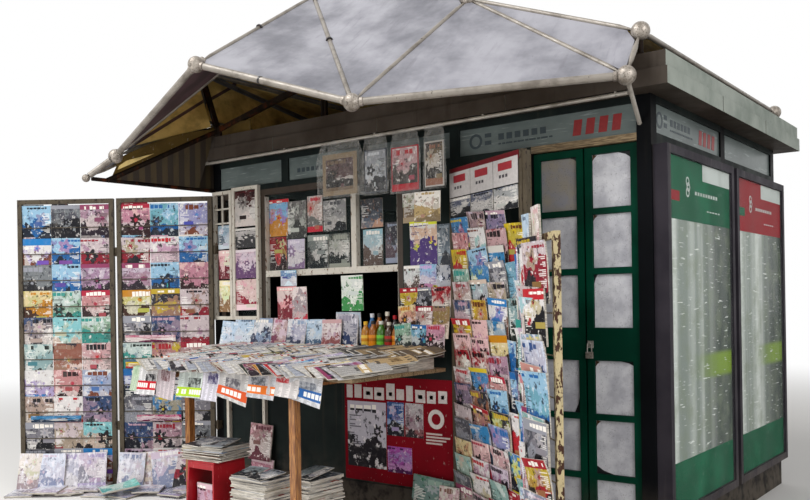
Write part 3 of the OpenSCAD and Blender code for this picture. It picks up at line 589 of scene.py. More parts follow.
@dataclass(frozen=True)
class CoverPrint(PrintedSheet):
    """Gloss-coated cover stock, offset printed, with a generic layout: broken ground, two hills, a flower head,
    colour bands, title blocks, caption rows."""

    ior = 1.3
    specular = 0.3

    def look(self, add: Adder) -> Look:
        """Draws one cover."""
        (x, y), (s1, s2, s3), (paper, figure, accent), (place,) = self.sheet(add)
        s4, s5 = (add("fract", add("*", s, 37.7)) for s in (s1, s2))
        grain = add("TexNoise", place, None, 7.0, 5.0, 0.7)
        wide = add("TexNoise", place, None, 3.4, 4.0, 0.62)
        bend = add("*+", wide, 0.5, -0.25)
        second = add("HueSaturation", add("*+", s4, 0.3, 0.35), 0.85, 0.8, 1.0, accent)
        # ground: broken fields that grow towards the foot
        field_at = add("*+", y, -0.3, add("+", wide, add("*", s5, 0.25)))
        colour = add("mix", add("ramp", field_at, 0.36, 0.42), paper, add("mix", 0.6, paper, second))
        # two rolling hills, the near one in the dark ink
        roll = add("*+", x, add("*+", s1, 7.0, 2.5), add("*", s3, 6.0))
        crest = add("*+", add("Math.SINE", roll), add("*+", s4, 0.1, 0.03), bend)
        far = add("-", add("+", add("*+", s2, 0.5, 0.2), crest), y)
        near = add("-", add("-", add("*+", s3, 0.42, 0.1), add("*", crest, 1.6)), y)
        cloth = add("mix", add("ramp", s5, 0.5, 0.52), accent, add("mix", 0.6, second, "#e9e2dc"))
        cloth = add("mix", add("ramp", grain, 0.42, 0.6), cloth, add("mix", 0.4, cloth, figure))
        colour = add("mix", add("ramp", far, 0.0, 0.012), colour, cloth)
        colour = add("mix", add("ramp", near, 0.0, 0.012), colour, figure)
        # a flower head with five to eight petals, high on the sheet
        dx = add("-", x, add("*+", s1, 0.6, 0.2))
        dy = add("-", add("*", y, 1.3), add("*+", s4, 0.4, 0.62))
        reach = add("+", add("Math.SQRT", add("+", add("*", dx, dx), add("*", dy, dy))), add("*", bend, 0.15))
        turn = add("*", add("Math.ARCTAN2", dy, dx), add("floor", add("*+", s5, 3.9, 5.0)))
        size = add("*", add("*+", add("Math.COSINE", turn), 0.28, 1.0), add("*+", s2, 0.13, 0.1))
        petal = add("*", add("<", reach, size), add(">", s3, 0.22))
        bloom = add("mix", add(">", s4, 0.45), figure, add("mix", 0.2, second, "#efe9e4"))
        bloom = add("mix", add("<", reach, add("*", size, 0.34)), bloom, accent)
        colour = add("mix", petal, colour, bloom)
        # busy lights and darks of a photograph
        light = add("ramp", grain, 0.57, 0.64, 0, 0.85)
        colour = add("mix", light, colour, add("mix", 0.6, paper, "#f1ece6"))
        dark = add("ramp", grain, 0.43, 0.37, 0, 0.9)
        colour = add("mix", dark, colour, add("mix", 0.4, figure, "#17151b"))
        # a band at the head or the foot in some copies
        edge = add("abs", add("-", y, add(">", s1, 0.35)))
        band = add("*", add(">", s3, 0.62), add("<", edge, add("*+", s4, 0.12, 0.08)))
        colour = add("mix", band, colour, accent)
        # title blocks of uneven height
        high = add("*+", s5, 0.1, 0.05)
        rise = add("abs", add("-", y, add("*+", high, -0.5, 0.96)))
        across = add("*", x, add("*+", s2, 5.0, 4.0))
        cell = add("+", add("floor", across), add("*", s1, 90.0))
        drawn = add("TexWhiteNoise", {"W": cell}, noise_dimensions="1D")
        head = add("<", rise, add("*", high, add("*+", drawn, 0.3, 0.25)))
        lit = add("*", add(">", drawn, 0.16), add("<", add("fract", across), 0.86))
        inside = add("<", add("abs", add("-", x, add("*+", s4, 0.4, 0.3))), 0.34)
        title = add("*", add("*", head, lit), add("*", inside, add(">", s2, 0.12)))
        title_ink = add("mix", band, add("mix", add(">", s1, 0.5), accent, figure), "#efe9e0")
        colour = add("mix", title, colour, title_ink)
        # caption rows down one side
        rows = add("*", y, 30.0)
        row = add("+", add("floor", rows), add("*", s3, 70.0))
        length = add("TexWhiteNoise", {"W": row}, noise_dimensions="1D")
        side = add("abs", add("-", add(">", s2, 0.5), x))
        line = add("*", add("<", add("fract", rows), 0.6), add(">", side, 0.05))
        line = add("*", line, add("<", side, add("*", length, 0.38)))
        line = add("*", line, add("<", add("abs", add("-", y, 0.5)), 0.3))
        colour = add("mix", add("*", line, 0.7), colour, add("mix", add(">", s4, 0.5), figure, "#f2efe9"))
        # call-out block low on the cover
        bx = add("abs", add("-", x, add("*+", s3, 0.6, 0.2)))
        by = add("abs", add("-", y, add("*+", s1, 0.5, 0.1)))
        block = add("*", add("<", bx, add("*", s4, 0.24)), add("<", by, 0.055))
        colour = add("mix", block, colour, second)
        return Look(stained(add, colour, "#b9b3aa", 60, 0.5, 0.8, 0.15, detail=5), 0.34, wide, 0.5)


@dataclass(frozen=True)
class WrappedPrint(CoverPrint):
    """A cover in creased polythene: painted white glints along the creases over a milky sheet."""

    specular = 0.4

    def look(self, add: Adder) -> Look:
        """The cover, then painted glints along creases 30 mm apart."""
        cover = super().look(add).colour
        creases = add("ramp", blotches(add, 30, (1, 1, 2.2), 5), 0.5, 0.62)
        # Painted highlights: the creases turn up to 82 % white; the 22 % everywhere is the film's own milkiness.
        return Look(add("mix", add("*+", creases, 0.6, 0.22), cover, "#e6e3ea"), 0.22, creases, 1.2)


@dataclass(frozen=True)
class NewsPrint(PrintedSheet):
    """Uncoated newsprint: grey-cream paper, headline blocks, thin rows in columns, one picture field."""

    specular = 0.1

    def look(self, add: Adder) -> Look:
        """Draws one folded page."""
        (x, y), (s1, s2, s3), (paper, figure, accent), (place,) = self.sheet(add)
        grain = add("TexNoise", place, None, 9.0, 6.0, 0.7)
        colour = add("mix", add("ramp", grain, 0.3, 0.7), paper, add("mix", 0.2, paper, "#9a9488"))
        # rows of type in columns
        down, across = add("*", y, 44.0), add("*", x, 4.0)
        row = add("+", add("floor", down), add("*", add("floor", across), 31.0))
        length = add("TexWhiteNoise", {"W": row}, noise_dimensions="1D")
        line = add("<", add("fract", across), add("*+", length, 0.5, 0.42))
        line = add("*", add("<", add("fract", down), 0.5), line)
        colour = add("mix", add("*", line, 0.55), colour, "#4c4a4c")
        # picture field
        px = add("abs", add("-", x, add("*+", s1, 0.4, 0.3)))
        py = add("abs", add("-", y, add("*+", s2, 0.3, 0.3)))
        field_at = add("*", add("<", px, 0.26), add("<", py, add("*+", s3, 0.12, 0.08)))
        picture = add("mix", add("ramp", grain, 0.42, 0.62), figure, add("mix", 0.6, figure, paper))
        colour = add("mix", field_at, colour, picture)
        # headline blocks on an accent band or on the paper
        banded = add(">", s3, 0.45)
        low = add("*+", s2, 0.76, 0.03)
        head = add("*", add(">", y, low), add("<", y, add("+", low, 0.21)))
        colour = add("mix", add("*", head, banded), colour, accent)
        cells = add("*", x, add("*+", s1, 5.0, 5.0))
        cell = add("+", add("floor", cells), add("*", s2, 90.0))
        lit = add(">", add("TexWhiteNoise", {"W": cell}, noise_dimensions="1D"), 0.2)
        tall = add("*", add(">", y, add("+", low, 0.05)), add("<", y, add("+", low, 0.16)))
        word = add("*", add("*", lit, tall), add("<", add("fract", cells), 0.8))
        colour = add("mix", add("*", word, 0.9), colour, add("mix", banded, "#2b2a2e", "#f0ede6"))
        return Look(colour, 0.75, grain, 0.3)


INKS = ("paper_ink", "figure_ink", "accent_ink")


@dataclass(frozen=True)
class Palette:
    """Paper, figure and accent ink, and how often a copy comes in them."""

    inks: str
    weight: float = 1.0


Inks = tuple[Palette, Point]


COVER_INKS = (
    Palette("#bdaeb0 #1d1a20 #8d1a2c", 3), Palette("#d0aaa8 #2a1618 #a8243c", 2),
    Palette("#8db2ca #18202e #1f5f9c", 2.4), Palette("#cdbb8c #3a2014 #b87a14", 1),
    Palette("#b4c2bc #1a2420 #2f8a80", 1.2), Palette("#d2cdcb #141318 #b3232c", 2.2),
    Palette("#3d76a4 #1b1a22 #c9b126", 1.2), Palette("#8f1824 #1a0f12 #d8ccc2", 1.4),
    Palette("#22212a #8c6a58 #b59a2c", 2), Palette("#b39b2c #1c1613 #9c1824", 0.7),
    Palette("#b8a9b6 #241a24 #8a3a5c", 1.4), Palette("#cecbc9 #6e3a28 #1f74b4", 1.4),
    Palette("#7ab4b8 #201a1c #c8b4a4", 0.9), Palette("#4a4a52 #15151a #8f9098", 1.6),
    Palette("#2b3f63 #12141e #b08d9c", 1.2),
)
NEWS_INKS = (
    Palette("#cfccc8 #3f4046 #a8321f", 2), Palette("#dad6d2 #26262b #981822", 2.4),
    Palette("#c6c4c8 #4c4c54 #1c4f8f", 1.6), Palette("#cfc6b4 #5a4636 #b85f1c", 1),
    Palette("#a4a8b4 #1f2026 #54707c", 1.6),
)
FILM_INKS = (
    Palette("#cdc7d2 #3d3a52 #7d6a9c", 2), Palette("#d2ced6 #5a4652 #a89ac0", 2),
    Palette("#c3cad8 #2f4a7c #b8a0b4", 2), Palette("#cfc4b8 #6b4a4a #c08a80", 1),
)
PALE_INKS = (
    Palette("#d8ccca #8a5050 #c8a0a0"), Palette("#d2bcc6 #7a4558 #b87a8c"), Palette("#b0c4d6 #4a6078 #d0d8e0"),
    Palette("#d6d5d8 #3a3f55 #8f9fb8"), Palette("#d4c6a8 #7a5a3a #b89a5c"),
)
PINK_INKS = (Palette("#a5727f #3f1c2a #d2b4bc"), Palette("#b98f96 #5a2c36 #7d4a5c"))
VIVID_INKS = (
    Palette("#a8145a #5a0c34 #d8c0c8"), Palette("#c2a818 #5a2a10 #a81824"), Palette("#2f78a8 #12263a #c8c4bc"),
)


def pick(rng: Random, palettes: Sequence[Palette]) -> Palette:
    """Draws one palette by weight."""
    return rng.choices(palettes, [p.weight for p in palettes])[0]


@dataclass
class Pad:
    """Collects many small things as one mesh, each face with its own finish, print place and inks."""

    name: str
    seed: int = 0
    points: list[Vector] = field(default_factory=list)
    faces: list[tuple[int, ...]] = field(default_factory=list)
    spots: list[list[Spot]] = field(default_factory=list)
    slots: list[int] = field(default_factory=list)
    inks: list[Inks] = field(default_factory=list)
    finishes: list[Finish] = field(default_factory=list)
    ink: Inks = (COVER_INKS[0], (0.5, 0.5, 0.5))

    def __post_init__(self) -> None:
        """Starts the source of its disorder."""
        self.rng = Random(self.seed)

    def slot(self, finish: Finish) -> int:
        """Finds or adds a material slot.

        Args:
            finish: Finish of the slot.

        Returns:
            Its index.
        """
        if finish not in self.finishes:
            self.finishes.append(finish)
        return self.finishes.index(finish)

    def face(self, corners: Sequence[int], finish: Finish, spots: Sequence[Spot] = ()) -> None:
        """Adds one face.

        Args:
            corners: Indices of its points, counter-clockwise from outside.
            finish: Its finish.
            spots: Place of each corner in the print, if it is printed.
        """
        self.faces.append(tuple(corners))
        self.spots.append(list(spots) or [(0.5, 0.5)] * len(corners))
        self.slots.append(self.slot(finish))
        self.inks.append(self.ink)

    def grid(
        self,
        place: Sheet,
        columns: int,
        rows: int,
        finish: Finish,
        window: tuple[float, float, float, float] = (0, 0, 1, 1),
    ) -> list[list[int]]:
        """Adds a sheet of quads over the unit square.

        Args:
            place: Gives the point for u across and v up.
            columns: Quads across.
            rows: Quads up.
            finish: Its finish.
            window: Part of the print that it shows.

        Returns:
            Rows of point indices.
        """
        base = len(self.points)
        for j in range(rows + 1):
            for i in range(columns + 1):
                self.points.append(place(i / columns, j / rows))
        x0, y0, x1, y1 = window
        lines = [[base + j * (columns + 1) + i for i in range(columns + 1)] for j in range(rows + 1)]
        for j in range(rows):
            for i in range(columns):
                us = [x0 + (x1 - x0) * k / columns for k in (i, i + 1)]
                vs = [y0 + (y1 - y0) * k / rows for k in (j, j + 1)]
                self.face(
                    (lines[j][i], lines[j][i + 1], lines[j + 1][i + 1], lines[j + 1][i]),
                    finish,
                    [(us[0], vs[0]), (us[1], vs[0]), (us[1], vs[1]), (us[0], vs[1])],
                )
        return lines

    def slab(
        self, front: Sheet, back: Sheet, finishes: tuple[Finish, Finish, Finish], columns: int = 4, rows: int = 4
    ) -> None:
        """Adds a thin closed body between a front and a back sheet.

        Args:
            front: Front sheet over the unit square.
            back: Back sheet over the unit square.
            finishes: Front, back and edge finish.
            columns: Quads across.
            rows: Quads up.
        """
        near = self.grid(front, columns, rows, finishes[0])
        far = self.grid(lambda u, v: back(1 - u, v), columns, rows, finishes[1])
        for line in far:
            line.reverse()
        ring = [(0, i) for i in range(columns)] + [(j, columns) for j in range(rows)]
        ring += [(rows, columns - i) for i in range(columns)] + [(rows - j, 0) for j in range(rows)]
        for (j0, i0), (j1, i1) in zip(ring, ring[1:] + ring[:1]):
            self.face((near[j0][i0], far[j0][i0], far[j1][i1], near[j1][i1]), finishes[2])

    def box(self, matrix: Matrix, low: Sequence[float], high: Sequence[float], finish: Finish) -> None:
        """Adds a box.

        Args:
            matrix: Its place.
            low: Its lowest corner.
            high: Its highest corner.
            finish: Its finish.
        """
        base = len(self.points)
        for x in (low[0], high[0]):
            for y in (low[1], high[1]):
                for z in (low[2], high[2]):
                    self.points.append(matrix @ Vector((x, y, z)))
        for corners in ((0, 1, 3, 2), (4, 6, 7, 5), (0, 4, 5, 1), (2, 3, 7, 6), (0, 2, 6, 4), (1, 5, 7, 3)):
            self.face([base + c for c in corners], finish, [(0, 0), (1, 0), (1, 1), (0, 1)])

    def turned(self, matrix: Matrix, profile: Sequence[Spot], finish: Finish, sides: int) -> None:
        """Adds a body of revolution about the matrix's Z axis.

        Args:
            matrix: Its place.
            profile: Radius and height from foot to head.
            finish: Its finish.
            sides: Number of sides.
        """
        rings: list[list[int]] = []
        for radius, height in profile:
            base = len(self.points)
            for k in range(sides if radius else 1):
                angle = 2 * pi * k / sides
                self.points.append(matrix @ Vector((radius * cos(angle), radius * sin(angle), height)))
            rings.append(list(range(base, len(self.points))))
        for lower, upper in zip(rings, rings[1:]):
            for k in range(sides):
                turn = ((lower, k), (lower, k + 1), (upper, k + 1), (upper, k))
                self.face(list(dict.fromkeys(ring[i % len(ring)] for ring, i in turn)), finish)

    def rod(self, start: Sequence[float], end: Sequence[float], radius: float, finish: Finish, sides: int = 10) -> None:
        """Adds a closed rod.

        Args:
            start: Middle of one end.
            end: Middle of the other.
            radius: Its radius.
            finish: Its finish.
            sides: Number of sides.
        """
        axis = Vector(end) - Vector(start)
        turn = Vector((0, 0, 1)).rotation_difference(axis.normalized()).to_matrix().to_4x4()
        place = Matrix.Translation(Vector(start)) @ turn
        self.turned(place, [(0, 0), (radius, 0), (radius, axis.length), (0, axis.length)], finish, sides)

    def outline(self, matrix: Matrix, points: Sequence[Spot], thick: float, finish: Finish, spots: bool = True) -> None:
        """Adds a flat plate that faces -Y.

        Args:
            matrix: Its place.
            points: Its outline, counter-clockwise in X and Z.
            thick: Its thickness.
            finish: Its finish.
            spots: Whether it is printed.
        """
        base, count = len(self.points), len(points)
        xs, zs = [p[0] for p in points], [p[1] for p in points]
        for depth in (-thick, 0):
            self.points.extend(matrix @ Vector((x, depth, z)) for x, z in points)
        wide, high = max(xs) - min(xs), max(zs) - min(zs)
        places = [((x - min(xs)) / wide, (z - min(zs)) / high) for x, z in points] if spots else ()
        self.face([base + i for i in range(count)], finish, places)
        self.face([base + 2 * count - 1 - i for i in range(count)], finish)
        for i in range(count):
            j = (i + 1) % count
            self.face((base + i, base + count + i, base + count + j, base + j), finish)

    def build(self, body: str = HUT, bevel_mm: float = 0.0, smooth: float = 35.0) -> bpy.types.Object:
        """Makes the object.

        Args:
            body: Body that it rides on.
            bevel_mm: Width of the rounding on its edges.
            smooth: Angle in degrees under which edges are shaded smooth.

        Returns:
            The object.
        """
        mesh = bpy.data.meshes.new(self.name)
        mesh.from_pydata([tuple(p) for p in self.points], [], self.faces)
        for finish in self.finishes:
            mesh.materials.append(finish.build())
        mesh.polygons.foreach_set("material_index", self.slots)
        spots = mesh.uv_layers.new(name="cover")
        spots.data.foreach_set("uv", [c for face in self.spots for spot in face for c in spot])
        for index, name in enumerate(INKS):
            layer = mesh.attributes.new(name, "FLOAT_COLOR", "FACE")
            inks = (linear(palette.inks.split()[index]) for palette, _ in self.inks)
            layer.data.foreach_set("color", [c for ink in inks for c in ink])
        layout = mesh.attributes.new("layout", "FLOAT_VECTOR", "FACE")
        layout.data.foreach_set("vector", [c for _, seed in self.inks for c in seed])
        mesh.update()
        made = in_scene(self.name, mesh)
        mesh.shade_smooth()
        mesh.set_sharp_from_angle(angle=radians(smooth))
        if bevel_mm:
            soften(made, bevel_mm)
        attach(made, body)
        LOG.info("%s: %d faces on %s", self.name, len(self.faces), body)
        return made


def soften(piece: bpy.types.Object, width_mm: float, segments: int = 2) -> None:
    """Rounds a piece's sharp edges.

    Args:
        piece: The piece.
        width_mm: Width of the rounding.
        segments: Faces across it.
    """
    bevel = piece.modifiers.new("rounded edges", "BEVEL")
    bevel.width = width_mm * MM
    bevel.segments = segments
    bevel.limit_method = "ANGLE"
    bevel.angle_limit = radians(40)
    bevel.harden_normals = True


def dress(name: str, finish: Finish, bevel_mm: float = 0.0) -> None:
    """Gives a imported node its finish.

    Args:
        name: The node.
        finish: Its finish.
        bevel_mm: Width of its rounded edges, 0 for none.
    """
    piece = NODES[name]
    piece.data.materials.clear()
    piece.data.materials.append(finish.build())
    if bevel_mm:
        soften(piece, bevel_mm)
    LOG.info("%s: %s", name, finish.name)


COVER = CoverPrint("offset_printed_cover")
WRAPPED = WrappedPrint("film_wrapped_cover_painted_glints")
NEWS = NewsPrint("newsprint_page")
PAGES = PageEdges("cut_page_edges")
DARK_PRINT = InkAttribute("dark_ink_card", rough=0.35)
WHITE_ENAMEL = ChippedEnamel("aged_white_enamel")
WINDOW_ENAMEL = WindowEnamel("worn_window_enamel")
RACK_STEEL = ChippedEnamel("khaki_enamel_on_steel", "#5a5040", "#2a2018", 0.25, 0.55, "#362e22")
CREAM_STEEL = ChippedEnamel("cream_enamel_rusting", "#d6c79f", "#3f2212", 0.6, 0.5, "#a8966c")
DARK_STEEL = SprayedSteel("brown_enamelled_steel", "#241c17", "#15110e", "#4a3524", rough=0.55, rust=0.6)
FILM = ClearFilm("polythene_film")
INKED = InkAttribute("inked_foil")
BOTTLE = DrinkBottle("filled_pet_bottle", rough=0.12, tone_mm=60.0)


def plain(code: str) -> Inks:
    """Ink entry for a piece in one colour."""
    return Palette(f"{code} {code} {code}"), (0.5, 0.5, 0.5)


@dataclass
class Card:
    """One magazine or folded paper: a thin closed body. Its middle bows forward and its head curls further."""

    width: float
    height: float
    thick: float
    bow: float
    curl: float

    def lay(self, pad: Pad, matrix: Matrix, palettes: Sequence[Palette] = COVER_INKS, front: Finish = COVER) -> None:
        """Adds it to a mesh.

        Args:
            pad: Mesh that takes it.
            matrix: Place of its lower left back corner; X across, Z up, front to -Y.
            palettes: Inks to draw from.
            front: Finish of its front and back.
        """
        rng = pad.rng
        pad.ink = (pick(rng, palettes), (rng.random(), rng.random(), rng.random()))
        lean_left, lean_right = rng.uniform(0.3, 1.6), rng.uniform(0.3, 1.6)

        def forward(u: float, v: float) -> float:
            """How far the sheet comes forward."""
            head = max(0.0, v - 0.55) / 0.45
            side = lean_left * (1 - u) + lean_right * u
            return self.bow * sin(pi * u) + self.curl * head * head * side

        pad.slab(
            lambda u, v: matrix @ Vector((u * self.width, -self.thick - forward(u, v), v * self.height)),
            lambda u, v: matrix @ Vector((u * self.width, -forward(u, v), v * self.height)),
            (front, front, PAGES),
        )


def upright(x: float, y: float, z: float, turn: float = 0.0, lean: float = 0.0, tip: float = 0.0) -> Matrix:
    """Place of a card's lower left back corner; degrees about the vertical, backward and in its own plane."""
    return move(x, y, z) @ spin("Z", turn) @ spin("X", -lean) @ spin("Y", tip)


class Fill(Enum):
    """How full a rack is."""

    NEAT = "neat"
    CROWDED = "crowded"
    PACKS = "packs"


@dataclass
class GoodsRack:
    """An upright rack of angle bars whose rows of magazines overlap like roof tiles."""

    name: str
    pin: Spot
    angle: float
    pin_x: float
    width: float = 0.75
    height: float = 2.24
    rows: int = 10
    drop: float = 0.06
    per_row: int = 3
    fill: Fill = Fill.NEAT
    seed: int = 1
    node: str = ""
    bar: float = 0.034
    rod: float = 0.007
    rod_drop: float = 0.125
    pitch: float = 0.204
    sheet: float = 0.285
    step_lean: float = asin(0.0043 / pitch)

    def place(self) -> Matrix:
        """The rack's own space in the row frame."""
        return move(*self.pin, 0) @ spin("Z", self.angle) @ move(-self.pin_x, -self.bar / 2, 0)

    def row_back(self) -> float:
        """Depth at which a row's magazines stand behind their rod."""
        return self.rod * 1.5 + 0.0003 - self.rod_drop * tan(self.step_lean)

    def head_of(self, row: int) -> float:
        """Height of the upper edge of a row."""
        return self.height - self.bar - self.drop - row * self.pitch

    def lay_neat(self, pad: Pad) -> None:
        """One magazine after another behind the rods, each a little out of line.

        Args:
            pad: Mesh that takes it.
        """
        rng = pad.rng
        step = (self.width - 2 * self.bar) / self.per_row
        for row in range(self.rows):
            head = self.head_of(row) + (0 if row else 0.05)
            for k in range(self.per_row):
                wide = rng.uniform(step - 0.006, step + 0.004)
                card = Card(wide, self.sheet, 0.004, rng.uniform(0, 0.001), rng.uniform(0, 0.005))
                x = self.bar + (k + 0.5) * step - wide / 2
                matrix = self.place() @ move(x, self.row_back() + 0.004, head)
                matrix @= Matrix.Rotation(self.step_lean, 4, "X") @ spin("Y", rng.gauss(0, 0.5))
                card.lay(pad, matrix @ move(0, 0, -self.sheet - rng.uniform(0, 0.006)))
                if rng.random() < 0.5:
                    spare = Card(wide * rng.uniform(0.5, 1.0), 0.27, 0.003, 0, 0.001)
                    spare.lay(pad, matrix @ move(0.004, 0.0045, -0.27 + rng.uniform(0.004, 0.016)))
            if rng.random() < 0.4:
                strip = Card(rng.uniform(0.3, 0.5), 0.05, 0.003, 0.001, 0.001)
                place = self.place() @ move(self.bar + rng.uniform(0, 0.15), -0.006, head - self.pitch + 0.003)
                strip.lay(pad, place, VIVID_INKS)

    def lay_crowded(self, pad: Pad) -> None:
        """Twice the rows, like roof tiles: each overlaps its neighbour and bulges over the rods.

        Args:
            pad: Mesh that takes it.
        """
        rng = pad.rng
        step = (self.width - 2 * self.bar - 0.05) / 3.3
        for row in range(2 * self.rows - 3):
            head = self.head_of(1) - row * self.pitch / 2 - 0.02
            spread = rng.uniform(-0.004, 0.004)
            for k in range(4 if row % 2 else 3):
                wide, thick = rng.uniform(0.205, 0.235), rng.uniform(0.002, 0.005)
                card = Card(wide, 0.25, thick, rng.uniform(0.001, 0.005), rng.uniform(0.004, 0.014))
                x = self.bar + k * step + rng.uniform(-0.006, 0.006) + spread
                depth = self.row_back() - 0.008 - 0.004 * k
                matrix = self.place() @ move(x, depth, head + rng.uniform(-0.02, 0.012))
                matrix @= spin("Z", -4) @ spin("X", 4.2)
                matrix @= spin("Y", 1.5 + rng.gauss(0, 2.2))
                palettes = VIVID_INKS if rng.random() < 0.12 else COVER_INKS
                card.lay(pad, matrix @ move(0, 0, -card.height), palettes)

    def lay_packs(self, pad: Pad) -> None:
        """Packs fanned so that each shows a sliver beside its cut edge.

        Args:
            pad: Mesh that takes it.
        """
        rng = pad.rng
        for row in range(self.rows):
            for k in range(7):
                wide, high, thick = rng.uniform(0.19, 0.22), rng.uniform(0.26, 0.31), rng.uniform(0.006, 0.014)
                card = Card(wide, high, thick, 0.004, rng.uniform(0, 0.02))
                head = self.head_of(row) + rng.uniform(-0.05, 0.05)
                matrix = self.place() @ move(0.03 + 0.036 * k, self.row_back() - 0.075 - 0.004 * k, head)
                matrix @= spin("Z", 15) @ spin("X", 3)
                matrix @= spin("Y", rng.gauss(2, 2.5))
                palettes, front = COVER_INKS, WRAPPED if k % 2 else COVER
                if rng.random() < 0.35:
                    palettes, front = FILM_INKS, COVER
                card.lay(pad, matrix @ move(0, 0, -card.height), palettes, front)
        for x, head, turn in ((0.03, 0.18, 1), (0.2, 0.2, -2)):
            matrix = self.place() @ move(x, self.row_back() - 0.03, self.head_of(0) + head)
            matrix @= spin("Y", turn) @ move(0, 0, -0.34)
            Card(0.12, 0.34, 0.012, 0.002, 0.006).lay(pad, matrix, PALE_INKS)

    def build(self) -> None:
        """Fills the rack."""
        pad = Pad(f"{self.name}_magazines", self.seed)
        {Fill.NEAT: self.lay_neat, Fill.CROWDED: self.lay_crowded, Fill.PACKS: self.lay_packs}[self.fill](pad)
        if self.fill is Fill.CROWDED:
            self.header(pad)
        made = pad.build()
        if self.node:
            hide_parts(self.node)

    def header(self, pad: Pad) -> None:
        """Red head board, three white cards on it and three dark picture cards under them.

        Args:
            pad: Mesh that takes it.
        """
        place = self.place() @ move(0, -0.001, 0.035)
        top = self.height - self.bar
        left, right = self.bar - 0.015, self.width - self.bar + 0.01
        pad.ink = plain("#6d1a22")
        pad.box(place, (left, -0.004, top - 0.05), (right, 0, top - 0.004), INKED)
        step = (right - left) / 3
        pad.rng = Random(self.seed + 40)
        for k in range(3):
            x = left + k * step + 0.003
            pad.ink = plain("#c9c4c2")
            pad.box(place, (x, -0.008, top - 0.18), (x + step - 0.006, -0.0045, top - 0.032), INKED)
            pad.ink = plain("#a3343c")
            pad.box(place, (x + 0.05, -0.0088, top - 0.095), (x + step - 0.06, -0.008, top - 0.052), INKED)
            pad.ink = plain("#4d4a4e")
            for i in range(3):
                bar = x + 0.06 + i * 0.032
                pad.box(place, (bar, -0.0088, top - 0.135), (bar + 0.02, -0.008, top - 0.118), INKED)
            dark = Card(step - 0.008, 0.125, 0.003, 0.001, 0.002)
            dusk = (Palette("#3b3e49 #14161b #8a8790"), Palette("#5a5f70 #1b1c20 #c8c4c0"))
            dark.lay(pad, place @ move(x, -0.003, top - 0.312), dusk)


@dataclass
class Racks:
    """The two left racks, the right rack and the narrow side rack."""

    left_pin: Spot = (-1.7, -1.245)
    left_angle: float = 34.0
    outer_angle: float = 36.0
    right_pin: Spot = (0.49, -1.23)
    right_angle: float = -26.2
    side_angle: float = -45.0
    link: float = 0.016 + 0.009 + 0.0003

    def turned(self, base: Spot, run: float, angle: float) -> Spot:
        """Point at run along a direction from a base point."""
        turn = radians(angle)
        return base[0] + run * cos(turn), base[1] + run * sin(turn)

    def left_racks(self) -> tuple[GoodsRack, GoodsRack]:
        """The rack hinged at the hut and the one beyond it.

        Returns:
            Inner and outer rack.
        """
        outer_pin = self.turned(self.left_pin, -GoodsRack.width - self.link, self.left_angle)
        return (
            GoodsRack("inner_rack", self.left_pin, self.left_angle, 0.766, seed=11, node="left_rack_magazines"),
            GoodsRack("outer_rack", outer_pin, self.outer_angle, 0.766, seed=12),
        )

    def build(self) -> None:
        """Dresses the four racks and fills them."""
        side_pin = self.turned(self.right_pin, 0.79 + 0.034 + self.link, self.right_angle)
        for name in ("rack_outer", "rack_inner", "rack_right"):
            dress(name, RACK_STEEL, 2.0)
        dress("rack_side", CREAM_STEEL, 2.0)
        racks = (
            *self.left_racks(),
            GoodsRack(
                "right_rack", self.right_pin, self.right_angle, -0.016, 0.79, 2.21, 10, 0.03,
                fill=Fill.CROWDED, seed=13, node="right_rack_magazines",
            ),
            GoodsRack(
                "side_rack", side_pin, self.side_angle, -0.016, 0.45, 1.73, 7, 0.03, 1,
                fill=Fill.PACKS, seed=14,
            ),
        )
        for rack in racks:
            rack.build()


# A card put up flat: left, right, lower and upper edge, and inks.
Shown = tuple[float, float, float, float, str]


